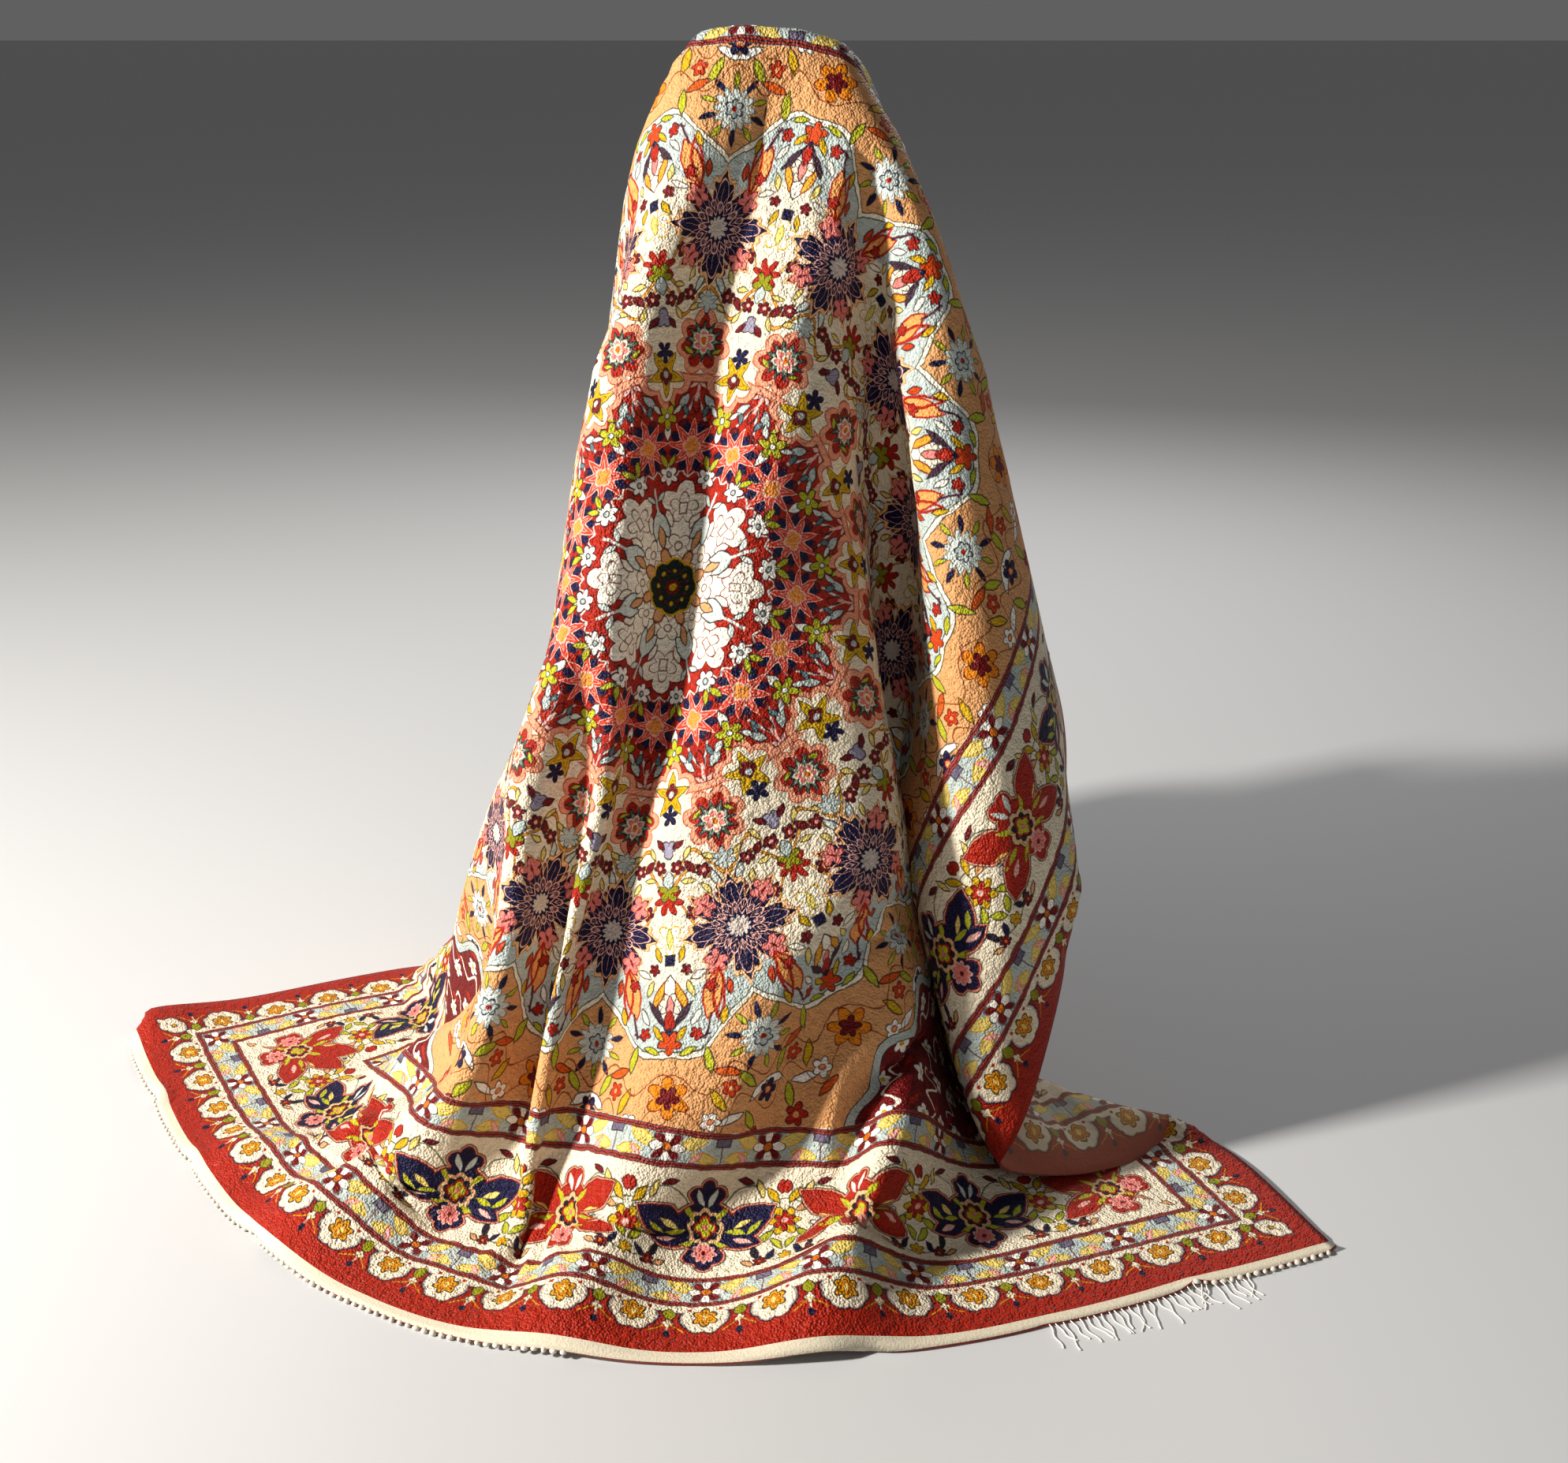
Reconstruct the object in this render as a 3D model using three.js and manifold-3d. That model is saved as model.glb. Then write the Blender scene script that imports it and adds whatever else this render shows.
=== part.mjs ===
// A square silk rug hung over a display stand. It rises to one crest, falls in a few broad folds,
// and trails on the floor in front and at both sides. Millimetres, +Z up, the front faces -Y.
// The origin is on the floor, under the middle of the stand's foot.
import * as THREE from "three";
import Module from "manifold-3d";
import { mergeVertices } from "three/addons/utils/BufferGeometryUtils.js";

const wasm = await Module();
wasm.setup();

// Driving dimensions
const RUG_WIDTH = 2000; // selvage to selvage, along u
const RUG_LENGTH = 2034; // hem to hem with both flat-woven end strips, along v
const RUG_THICKNESS = 4; // knots, pile and backing
const CELLS = 50; // mesh squares along each side of the rug
const FOOT_RADIUS = 150;
const FOOT_HEIGHT = 18;
const FOOT_CHAMFER = 5;
const POST_RADIUS = 16;
const HEAD_HALF = { x: 112, y: 34, z: 60 }; // half sizes of the rounded head under the crest
const HEAD_PLACE = { x: 0, y: 4 }; // where the head's middle stands on the plan
const SEAT_GAP = 0.3; // between the foot and the post
const CREST_GAP = 0.6; // between the head and the rug that lies on it
const FRINGE = { from: 604, to: 868, count: 20, reach: 46, strip: 4, gap: 0.7, height: 1.6, width: 2 };

const table = (names, rows) =>
  rows.map((row) => Object.fromEntries(names.split(" ").map((name, i) => [name, row[i]])));

// A guide says where one spot (u, v) of the rug lies in the room (x, y, z). u runs from the left
// selvage to the right one and v from the front hem to the back one, both from the rug's middle.
// The hem's sweep on the floor, and the border's middle line behind it.
const HEM = table("u x y borderX borderY", [
  [-1000, -925, 50, null, null],
  [-795, -840, -140, -695, 0],
  [-600, -735, -300, -580, -165],
  [-400, -615, -460, -505, -295],
  [-200, -460, -595, -410, -400],
  [0, -285, -685, -260, -450],
  [200, -85, -700, -85, -485],
  [400, 115, -675, 70, -460],
  [600, 310, -620, 245, -450],
  [795, 495, -550, 430, -355],
  [1000, 685, -480, 620, -290],
]);

// What lies on the floor away from the hem: the left selvage, and the right corner, whose edge
// rolls up into a low hump before it meets the hanging corner.
const FLOOR = table("u v x y z hold", [
  [-1000, -825, -815, 175, 3, 1],
  [-1000, -660, -660, 220, 3, 1],
  [-1000, -470, -470, 250, 3, 1],
  [-695, -695, -545, -30, 5, 0.6],
  [-695, -550, -490, 30, 20, 0.3],
  [895, -760, 515, -285, 5, 0.6],
  [1000, -735, 605, -230, 5, 1],
  [1000, -620, 490, -290, 15, 0.8],
  [1000, -495, 380, -345, 30, 0.8],
  [1000, -365, 265, -405, 50, 1],
  [935, -615, 490, -255, 60, 0.6],
  [910, -495, 380, -290, 45, 0.6],
  [825, -495, 340, -220, 10, 0.6],
  [825, -635, 415, -185, 5, 0.5],
  [745, -580, 305, -160, 5, 0.4],
  [600, -675, 220, -345, 15, 0.3],
]);

// The crest over the head, and the first fall behind it.
const CREST = table("u v x y z hold", [
  [-105, 690, -80, 0, 1435, 1],
  [0, 690, -25, 0, 1445, 1],
  [70, 690, 30, 0, 1445, 1],
  [130, 695, 80, 0, 1435, 1],
  [-70, 770, -60, 55, 1380, 0.5],
  [40, 770, 5, 55, 1380, 0.5],
  [125, 770, 75, 55, 1380, 0.5],
  [-70, 1000, -75, 90, 1160, 0.4],
  [40, 1000, 5, 90, 1160, 0.4],
  [140, 1000, 105, 90, 1160, 0.4],
]);

// The front folds, each from the crest down: its ridge or valley line in three to five spots.
const FOLD_HOLD = 0.5;
const FOLD = (rows) => table("u v x y z", rows);
const FRONT_FOLDS = {
  leftSilhouette: FOLD([
    [-160, 525, -170, -15, 1265],
    [-205, 40, -245, -195, 815],
    [-275, -415, -345, -305, 385],
    [-295, -670, -395, -360, 130],
  ]),
  leftRidge: FOLD([
    [-205, -145, -265, -305, 660],
    [-205, -415, -280, -380, 420],
    [-220, -670, -350, -435, 175],
  ]),
  leftValley: FOLD([
    [-100, -205, -210, -260, 565],
    [-125, -415, -245, -310, 390],
    [-145, -670, -330, -370, 135],
  ]),
  middleRidge: FOLD([
    [-70, 260, -145, -150, 1020],
    [-75, -150, -180, -330, 660],
    [-60, -425, -220, -415, 430],
    [-70, -670, -280, -455, 180],
  ]),
  middleValley: FOLD([
    [0, 450, -55, -55, 1190],
    [0, 180, -90, -125, 930],
    [0, -180, -145, -250, 605],
    [0, -450, -180, -345, 360],
    [0, -670, -225, -405, 140],
  ]),
  rightRidge: FOLD([
    [60, 165, -40, -185, 925],
    [70, -165, -90, -310, 630],
    [75, -670, -155, -450, 165],
  ]),
  broadPanel: FOLD([
    [125, 540, 65, -55, 1270],
    [130, 130, 5, -205, 885],
    [145, -215, -30, -340, 575],
    [205, -670, -45, -490, 150],
  ]),
  panelEdge: FOLD([
    [180, 440, 105, -85, 1180],
    [275, 40, 125, -220, 790],
    [340, -315, 140, -360, 455],
    [515, -670, 170, -425, 185],
  ]),
  deepGap: FOLD([
    [260, 400, 145, 30, 1145],
    [415, 40, 180, 15, 745],
    [580, -305, 205, -55, 385],
    [730, -550, 285, -165, 30],
  ]),
  wingFront: FOLD([
    [220, 540, 130, -55, 1250],
    [360, 350, 160, -110, 1015],
    [515, 165, 190, -195, 745],
    [760, -185, 205, -330, 295],
    [995, -365, 265, -405, 40],
  ]),
  wingOuter: FOLD([
    [250, 635, 150, -15, 1310],
    [470, 455, 275, -55, 1005],
    [655, 305, 330, -110, 775],
    [815, 150, 390, -165, 530],
    [980, -30, 415, -235, 375],
  ]),
  wingMiddle: FOLD([
    [695, 75, 275, -290, 575],
    [795, 0, 320, -290, 455],
    [895, -220, 285, -360, 215],
  ]),
};

// The hidden folds at the sides and back fall straight from one shoulder of the crest. turn is the
// fold's angle on the rug from the front, in degrees, and leanX and leanY are its slope.
const SHOULDER = {
  left: { u: -95, v: 690, x: -105, y: 0, z: 1390, side: -1 },
  right: { u: 140, v: 690, x: 105, y: 0, z: 1390, side: 1 },
};
const BACK_FOLD_HOLD = 0.4;
const BACK_FOLD_SPOTS = [0.3, 0.65, 1];
const BACK_FOLDS = table("shoulder turn leanX leanY length", [
  ["right", 75, 0.33, 0.2, 890],
  ["right", 95, 0.12, 0.4, 860],
  ["right", 112, 0.25, 0.52, 925],
  ["right", 135, 0.05, 0.24, 425],
  ["left", 24, -0.225, -0.08, 1435],
  ["left", 39, -0.237, 0.17, 1435],
  ["left", 62, -0.17, 0.53, 1005],
  ["left", 82, -0.02, 0.27, 910],
  ["left", 104, -0.1, 0.58, 925],
  ["left", 130, 0.03, 0.25, 455],
]);

// How the cloth settles: the guides start it, and its own stretch, shear and bending do the rest.
const SETTLE = { rounds: 400, passes: 3, guideStart: 0.72, guideEnd: 0.2, bend: 0.14, shear: 0.5 };
const IRONING = { rounds: 2, strength: 0.3 }; // the last smoothing, which takes out single-square kinks
const CRUSH = 0.5; // how much weaker the cloth resists being crushed than being stretched
const GUIDE_SMOOTHING = 3.8e-4; // square metres, how loosely the first surface follows its guides

function guideList() {
  const guides = [];
  const add = (u, v, x, y, z, hold) => guides.push({ u, v, at: [x, y, z], hold });
  const hemV = -RUG_LENGTH / 2;
  const borderV = -795;
  for (const row of HEM) {
    add(row.u, hemV, row.x, row.y, 3, 1);
    if (row.borderX !== null) add(row.u, borderV, row.borderX, row.borderY, 7, 0.6);
  }
  for (const row of [...FLOOR, ...CREST]) add(row.u, row.v, row.x, row.y, row.z, row.hold);
  for (const fold of Object.values(FRONT_FOLDS)) {
    fold.forEach((spot, i) => {
      add(spot.u, spot.v, spot.x, spot.y, spot.z, FOLD_HOLD);
      const next = fold[i + 1];
      if (!next) return;
      const half = ["u", "v", "x", "y", "z"].map((name) => (spot[name] + next[name]) / 2);
      add(...half, FOLD_HOLD);
    });
  }
  for (const fold of BACK_FOLDS) {
    const top = SHOULDER[fold.shoulder];
    const turn = THREE.MathUtils.degToRad(fold.turn);
    const drop = -Math.sqrt(1 - fold.leanX ** 2 - fold.leanY ** 2);
    for (const share of BACK_FOLD_SPOTS) {
      const along = share * fold.length;
      const u = top.u + top.side * Math.sin(turn) * along;
      const v = top.v - Math.cos(turn) * along;
      if (Math.abs(u) > RUG_WIDTH / 2 || Math.abs(v) > RUG_LENGTH / 2) continue;
      const place = [top.x + fold.leanX * along, top.y + fold.leanY * along, top.z + drop * along];
      add(u, v, ...place, BACK_FOLD_HOLD);
    }
  }
  return guides;
}

// Solves the square system whose rows hold the factors and then the three wanted values.
function solveRows(rows) {
  const size = rows.length;
  for (let pivot = 0; pivot < size; pivot++) {
    let best = pivot;
    for (let r = pivot + 1; r < size; r++) {
      if (Math.abs(rows[r][pivot]) > Math.abs(rows[best][pivot])) best = r;
    }
    [rows[pivot], rows[best]] = [rows[best], rows[pivot]];
    for (let r = pivot + 1; r < size; r++) {
      const factor = rows[r][pivot] / rows[pivot][pivot];
      if (factor === 0) continue;
      for (let k = pivot; k < rows[r].length; k++) rows[r][k] -= factor * rows[pivot][k];
    }
  }
  const answer = rows.map(() => [0, 0, 0]);
  for (let r = size - 1; r >= 0; r--) {
    for (let axis = 0; axis < 3; axis++) {
      let sum = rows[r][size + axis];
      for (let k = r + 1; k < size; k++) sum -= rows[r][k] * answer[k][axis];
      answer[r][axis] = sum / rows[r][r];
    }
  }
  return answer;
}

// The smooth surface that passes near every guide: a thin plate bent over the rug's own plan.
function guidedSurface(guides) {
  const METRE = 1000;
  const bend = (du, dv) => {
    const square = (du * du + dv * dv) / (METRE * METRE);
    return 0.5 * square * Math.log(square + 2.3e-14);
  };
  const plane = (u, v) => [1, u / METRE, v / METRE];
  const rows = guides.map((guide, i) => [
    ...guides.map((other, k) => bend(guide.u - other.u, guide.v - other.v) + (i === k ? GUIDE_SMOOTHING : 0)),
    ...plane(guide.u, guide.v),
    ...guide.at,
  ]);
  for (let term = 0; term < 3; term++) {
    rows.push([...guides.map((guide) => plane(guide.u, guide.v)[term]), 0, 0, 0, 0, 0, 0]);
  }
  const weights = solveRows(rows);
  return (u, v) => {
    const factors = [...guides.map((guide) => bend(u - guide.u, v - guide.v)), ...plane(u, v)];
    const place = [0, 0, 0];
    factors.forEach((factor, k) => {
      for (let axis = 0; axis < 3; axis++) place[axis] += factor * weights[k][axis];
    });
    return place;
  };
}

// The draped middle surface: (CELLS + 1) rows of (CELLS + 1) places, row by row from the front hem.
function drape() {
  const side = CELLS + 1;
  const stepU = RUG_WIDTH / CELLS;
  const stepV = RUG_LENGTH / CELLS;
  const floor = RUG_THICKNESS / 2;
  const guides = guideList();
  const surface = guidedSurface(guides);
  const places = new Float64Array(side * side * 3);
  const index = (j, i) => 3 * (j * side + i);
  for (let j = 0; j < side; j++) {
    for (let i = 0; i < side; i++) {
      places.set(surface(i * stepU - RUG_WIDTH / 2, j * stepV - RUG_LENGTH / 2), index(j, i));
    }
  }
  const pins = guides.map((guide) => {
    const column = (guide.u + RUG_WIDTH / 2) / stepU;
    const row = (guide.v + RUG_LENGTH / 2) / stepV;
    const i = Math.min(Math.max(Math.floor(column), 0), side - 2);
    const j = Math.min(Math.max(Math.floor(row), 0), side - 2);
    const a = Math.min(Math.max(column - i, 0), 1);
    const b = Math.min(Math.max(row - j, 0), 1);
    const corners = [index(j, i), index(j, i + 1), index(j + 1, i), index(j + 1, i + 1)];
    const share = [(1 - a) * (1 - b), a * (1 - b), (1 - a) * b, a * b];
    const square = share.reduce((sum, s) => sum + s * s, 0);
    return { ...guide, corners, share, square };
  });
  const pullToGuides = (strength) => {
    const pulls = pins.map((pin) =>
      pin.at.map((wanted, axis) => {
        let now = 0;
        pin.corners.forEach((corner, k) => (now += pin.share[k] * places[corner + axis]));
        return (wanted - now) * pin.hold * strength;
      }),
    );
    pins.forEach((pin, n) => {
      pin.corners.forEach((corner, k) => {
        for (let axis = 0; axis < 3; axis++) {
          places[corner + axis] += (pulls[n][axis] * pin.share[k]) / pin.square;
        }
      });
    });
  };
  const flatten = (dj, di, strength) => {
    const before = places.slice();
    for (let j = dj; j < side - dj; j++) {
      for (let i = di; i < side - di; i++) {
        const here = index(j, i);
        for (let axis = 0; axis < 3; axis++) {
          const mean = (before[index(j - dj, i - di) + axis] + before[index(j + dj, i + di) + axis]) / 2;
          places[here + axis] += strength * (mean - before[here + axis]);
        }
      }
    }
  };
  const restore = (a, b, length, strength) => {
    const gap = [0, 1, 2].map((axis) => places[b + axis] - places[a + axis]);
    const now = Math.hypot(...gap) + 1e-6;
    const resisted = now < length ? strength * CRUSH : strength;
    const move = (((now - length) / now) * resisted) / 2;
    for (let axis = 0; axis < 3; axis++) {
      places[a + axis] += move * gap[axis];
      places[b + axis] -= move * gap[axis];
    }
  };
  const threads = (dj, di, length, strength) => {
    for (const parity of [0, 1]) {
      for (let j = 0; j < side - dj; j++) {
        if (dj === 1 && j % 2 !== parity) continue;
        const first = di < 0 ? 1 : 0;
        const last = di > 0 ? side - 1 : side;
        for (let i = first; i < last; i++) {
          if (dj === 0 && i % 2 !== parity) continue;
          restore(index(j, i), index(j + dj, i + di), length, strength);
        }
      }
    }
  };
  const slant = Math.hypot(stepU, stepV);
  for (let round = 0; round < SETTLE.rounds; round++) {
    const fading = 1 - round / SETTLE.rounds;
    pullToGuides(SETTLE.guideEnd + (SETTLE.guideStart - SETTLE.guideEnd) * fading);
    flatten(1, 0, SETTLE.bend);
    flatten(0, 1, SETTLE.bend);
    for (let pass = 0; pass < SETTLE.passes; pass++) {
      threads(0, 1, stepU, 1);
      threads(1, 0, stepV, 1);
      threads(1, 1, slant, SETTLE.shear);
      threads(1, -1, slant, SETTLE.shear);
    }
    for (let k = 2; k < places.length; k += 3) places[k] = Math.max(places[k], floor);
  }
  for (let round = 0; round < IRONING.rounds; round++) {
    flatten(1, 0, IRONING.strength);
    flatten(0, 1, IRONING.strength);
  }
  return places;
}

// The cloth's two faces, half the thickness to either side of the middle surface, and its rim.
function sheetGeometry(places) {
  const side = CELLS + 1;
  const count = side * side;
  const at = (k) => new THREE.Vector3(places[3 * k], places[3 * k + 1], places[3 * k + 2]);
  const quads = [];
  for (let j = 0; j < CELLS; j++) {
    for (let i = 0; i < CELLS; i++) {
      const k = j * side + i;
      quads.push([k, k + 1, k + side + 1, k + side]);
    }
  }
  const normals = Array.from({ length: count }, () => new THREE.Vector3());
  for (const [a, b, c, d] of quads) {
    const across = at(c).sub(at(a)).cross(at(d).sub(at(b)));
    for (const corner of [a, b, c, d]) normals[corner].add(across);
  }
  const vertices = new Float32Array(count * 6);
  normals.forEach((normal, k) => {
    normal.setLength(RUG_THICKNESS / 2);
    at(k).add(normal).toArray(vertices, 3 * k);
    at(k).sub(normal).toArray(vertices, 3 * (k + count));
  });
  const triangles = [];
  const square = (a, b, c, d) => triangles.push(a, b, c, a, c, d);
  for (const [a, b, c, d] of quads) {
    // Each square is split along its longer diagonal, which is the one that runs with a fold.
    const withFold = at(a).distanceTo(at(c)) > at(b).distanceTo(at(d));
    const [p, q, r, s] = withFold ? [a, b, c, d] : [b, c, d, a];
    square(p, q, r, s);
    square(s + count, r + count, q + count, p + count);
  }
  const rim = [];
  for (let i = 0; i < CELLS; i++) rim.push([i, i + 1]);
  for (let j = 0; j < CELLS; j++) rim.push([j * side + CELLS, (j + 1) * side + CELLS]);
  for (let i = CELLS; i > 0; i--) rim.push([CELLS * side + i, CELLS * side + i - 1]);
  for (let j = CELLS; j > 0; j--) rim.push([j * side, (j - 1) * side]);
  for (const [a, b] of rim) square(b, a, a + count, b + count);
  const geometry = new THREE.BufferGeometry();
  geometry.setAttribute("position", new THREE.BufferAttribute(vertices, 3));
  geometry.setIndex(triangles);
  return geometry;
}

const solidOf = (geometry) => {
  const bare = geometry.clone();
  bare.deleteAttribute("normal");
  bare.deleteAttribute("uv");
  const merged = mergeVertices(bare, 1e-4);
  return new wasm.Manifold(
    new wasm.Mesh({
      numProp: 3,
      vertProperties: new Float32Array(merged.attributes.position.array),
      triVerts: new Uint32Array(merged.index.array),
    }),
  );
};

const geometryOf = (solid) => {
  const mesh = solid.getMesh();
  const geometry = new THREE.BufferGeometry();
  geometry.setAttribute("position", new THREE.BufferAttribute(mesh.vertProperties, 3));
  geometry.setIndex(new THREE.BufferAttribute(mesh.triVerts, 1));
  return geometry;
};

// A length of thread or strip lying on the floor: a section of 3 or 4 corners carried along places.
function floorRun(route, width, height, corners) {
  const sections = route.map((spot, n) => {
    const ahead = route[Math.min(n + 1, route.length - 1)];
    const behind = route[Math.max(n - 1, 0)];
    const along = new THREE.Vector2(ahead.x - behind.x, ahead.y - behind.y).normalize();
    const right = { x: along.y, y: -along.x };
    const place = (share, z) => [spot.x + right.x * share * width, spot.y + right.y * share * width, z];
    if (corners === 3) return [place(0.5, 0), place(0, height), place(-0.5, 0)];
    return [place(0.5, 0), place(0.5, height), place(-0.5, height), place(-0.5, 0)];
  });
  const triangles = [];
  const last = (sections.length - 1) * corners;
  for (let n = 0; n < sections.length - 1; n++) {
    for (let k = 0; k < corners; k++) {
      const a = n * corners + k;
      const b = n * corners + ((k + 1) % corners);
      triangles.push(a, a + corners, b, b, a + corners, b + corners);
    }
  }
  for (let k = 1; k < corners - 1; k++) {
    triangles.push(0, k, k + 1);
    triangles.push(last, last + k + 1, last + k);
  }
  const geometry = new THREE.BufferGeometry();
  geometry.setAttribute("position", new THREE.BufferAttribute(new Float32Array(sections.flat(2)), 3));
  geometry.setIndex(triangles);
  return geometry;
}

// The warp ends left at one stretch of the front hem: a narrow strip along it with loose strands.
function fringeGeometry(places) {
  const hemSpot = (u) => {
    const column = ((u + RUG_WIDTH / 2) / RUG_WIDTH) * CELLS;
    const i = Math.floor(column);
    const part = column - i;
    const from = new THREE.Vector2(places[3 * i], places[3 * i + 1]);
    const to = new THREE.Vector2(places[3 * i + 3], places[3 * i + 4]);
    const along = to.clone().sub(from).normalize();
    return { on: from.lerp(to, part), out: new THREE.Vector2(along.y, -along.x) };
  };
  const away = (u, distance) => {
    const { on, out } = hemSpot(u);
    return on.addScaledVector(out, distance);
  };
  const middle = FRINGE.gap + FRINGE.strip / 2;
  const step = RUG_WIDTH / CELLS;
  const bends = [FRINGE.from];
  for (let u = Math.ceil(FRINGE.from / step) * step; u < FRINGE.to; u += step) bends.push(u);
  bends.push(FRINGE.to);
  const strip = floorRun(bends.map((u) => away(u, middle)), FRINGE.strip, FRINGE.height, 4);
  let solid = solidOf(strip);
  for (let n = 0; n < FRINGE.count; n++) {
    const share = (n + 0.5) / FRINGE.count;
    const u = FRINGE.from + (FRINGE.to - FRINGE.from) * share;
    const sway = 7 * Math.sin(2.4 * n) + 3 * Math.sin(5.1 * n);
    const reach = FRINGE.reach * (1 + 0.16 * Math.sin(1.7 * n + 1));
    const route = [0, 0.35, 0.7, 1].map((t) => away(u + sway * t * t, middle + reach * t));
    solid = solid.add(solidOf(floorRun(route, FRINGE.width, FRINGE.height - 0.2, 3)));
  }
  return geometryOf(solid);
}

// The highest place for the rounded head: its skin stays below every cloth triangle over it.
function headHeight(cloth) {
  const headTop = (x, y) => {
    const square = ((x - HEAD_PLACE.x) / HEAD_HALF.x) ** 2 + ((y - HEAD_PLACE.y) / HEAD_HALF.y) ** 2;
    return square < 1 ? HEAD_HALF.z * Math.sqrt(1 - square) : null;
  };
  const { position } = cloth.attributes;
  const corner = [new THREE.Vector3(), new THREE.Vector3(), new THREE.Vector3()];
  const spot = new THREE.Vector3();
  const splits = 8;
  const crestZone = 1100; // cloth below this height can't lie on the head
  let height = Infinity;
  for (let t = 0; t < cloth.index.count; t += 3) {
    corner.forEach((vertex, k) => vertex.fromBufferAttribute(position, cloth.index.getX(t + k)));
    if (Math.min(...corner.map((vertex) => vertex.z)) < crestZone) continue;
    for (let a = 0; a <= splits; a++) {
      for (let b = 0; a + b <= splits; b++) {
        spot.copy(corner[0]).multiplyScalar((splits - a - b) / splits);
        spot.addScaledVector(corner[1], a / splits).addScaledVector(corner[2], b / splits);
        const top = headTop(spot.x, spot.y);
        if (top !== null) height = Math.min(height, spot.z - top);
      }
    }
  }
  return height - CREST_GAP;
}

function footGeometry() {
  const outline = [
    [0, 0],
    [FOOT_RADIUS, 0],
    [FOOT_RADIUS, FOOT_HEIGHT - FOOT_CHAMFER],
    [FOOT_RADIUS - FOOT_CHAMFER, FOOT_HEIGHT],
    [0, FOOT_HEIGHT],
  ].map(([radius, height]) => new THREE.Vector2(radius, height));
  return new THREE.LatheGeometry(outline, 48).rotateX(Math.PI / 2);
}

// The post stands on the foot and runs up into the rounded head.
function postGeometry(headZ) {
  const low = FOOT_HEIGHT + SEAT_GAP;
  const post = new THREE.CylinderGeometry(POST_RADIUS, POST_RADIUS, headZ - low, 24);
  post.rotateX(Math.PI / 2).translate(HEAD_PLACE.x, HEAD_PLACE.y, (low + headZ) / 2);
  const head = new THREE.SphereGeometry(1, 32, 16).rotateX(Math.PI / 2);
  head.scale(HEAD_HALF.x, HEAD_HALF.y, HEAD_HALF.z).translate(HEAD_PLACE.x, HEAD_PLACE.y, headZ);
  return geometryOf(solidOf(post).add(solidOf(head)));
}

const piece = (name, geometry, colour, roughness, metalness = 0) => {
  const material = new THREE.MeshStandardMaterial({ color: colour, roughness, metalness });
  const mesh = new THREE.Mesh(geometry, material);
  mesh.name = name;
  return mesh;
};

const places = drape();
const cloth = sheetGeometry(places);

const rug = new THREE.Group();
rug.add(piece("rug", cloth, 0x9c3a26, 0.6));
rug.add(piece("hem_fringe", fringeGeometry(places), 0xe9e2d2, 0.8));
rug.add(piece("stand_foot", footGeometry(), 0x5a4636, 0.5));
rug.add(piece("stand_post", postGeometry(headHeight(cloth)), 0x5a4636, 0.5));

export default rug;
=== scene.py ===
# %% [markdown]
# # A silk rug hung over a display stand
# The real object is one knotted silk rug, two metres square. It hangs over a rounded stand, falls in
# a few broad folds and trails on the floor. This lesson drapes the rug as a thin sheet on the same
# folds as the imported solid, paints its pattern with shader maths, and adds the woven ends and fringe.

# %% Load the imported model
import math

import bpy
import numpy as np
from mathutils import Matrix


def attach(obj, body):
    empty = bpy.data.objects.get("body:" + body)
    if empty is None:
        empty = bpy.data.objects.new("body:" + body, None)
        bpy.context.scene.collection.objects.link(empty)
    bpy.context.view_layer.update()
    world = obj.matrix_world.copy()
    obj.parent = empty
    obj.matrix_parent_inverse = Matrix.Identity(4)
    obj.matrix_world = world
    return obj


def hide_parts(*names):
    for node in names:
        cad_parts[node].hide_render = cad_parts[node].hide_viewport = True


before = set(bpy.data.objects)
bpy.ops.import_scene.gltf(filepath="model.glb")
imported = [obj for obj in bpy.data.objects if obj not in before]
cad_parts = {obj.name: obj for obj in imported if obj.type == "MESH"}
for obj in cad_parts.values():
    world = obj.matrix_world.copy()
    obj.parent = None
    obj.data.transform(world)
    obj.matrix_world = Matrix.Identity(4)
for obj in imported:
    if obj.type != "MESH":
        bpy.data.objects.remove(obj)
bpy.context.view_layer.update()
print("packed nodes:", sorted(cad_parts))

# %% [markdown]
# ## The drape
# On the real rug the cloth falls freely from the stand and folds where it has too much width. It could
# be simulated, but the folds are wanted in known places. So a few spots of each fold are tied to places
# in the room, a smooth plate is bent through them, and the cloth's own stretch, shear and bending then
# settle it. In the tables u is the distance from the rug's middle towards its right selvage, v the
# distance towards its back hem, and x, y and z the place in the room, all in millimetres.

# %% Sizes of the rug in millimetres
WIDTH = 2000.0
LENGTH = 2034.0
PILE_LENGTH = 2000.0
THICKNESS = 4.0
CELLS = 50
CELL = 137.85  # one repeat of the narrow borders, the pattern's own unit
print("flat size:", WIDTH, "by", LENGTH, "mm, or", round(WIDTH / CELL, 2), "repeats wide")


def table(names, rows):
    keys = names.split()
    return [dict(zip(keys, row)) for row in rows]


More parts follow.
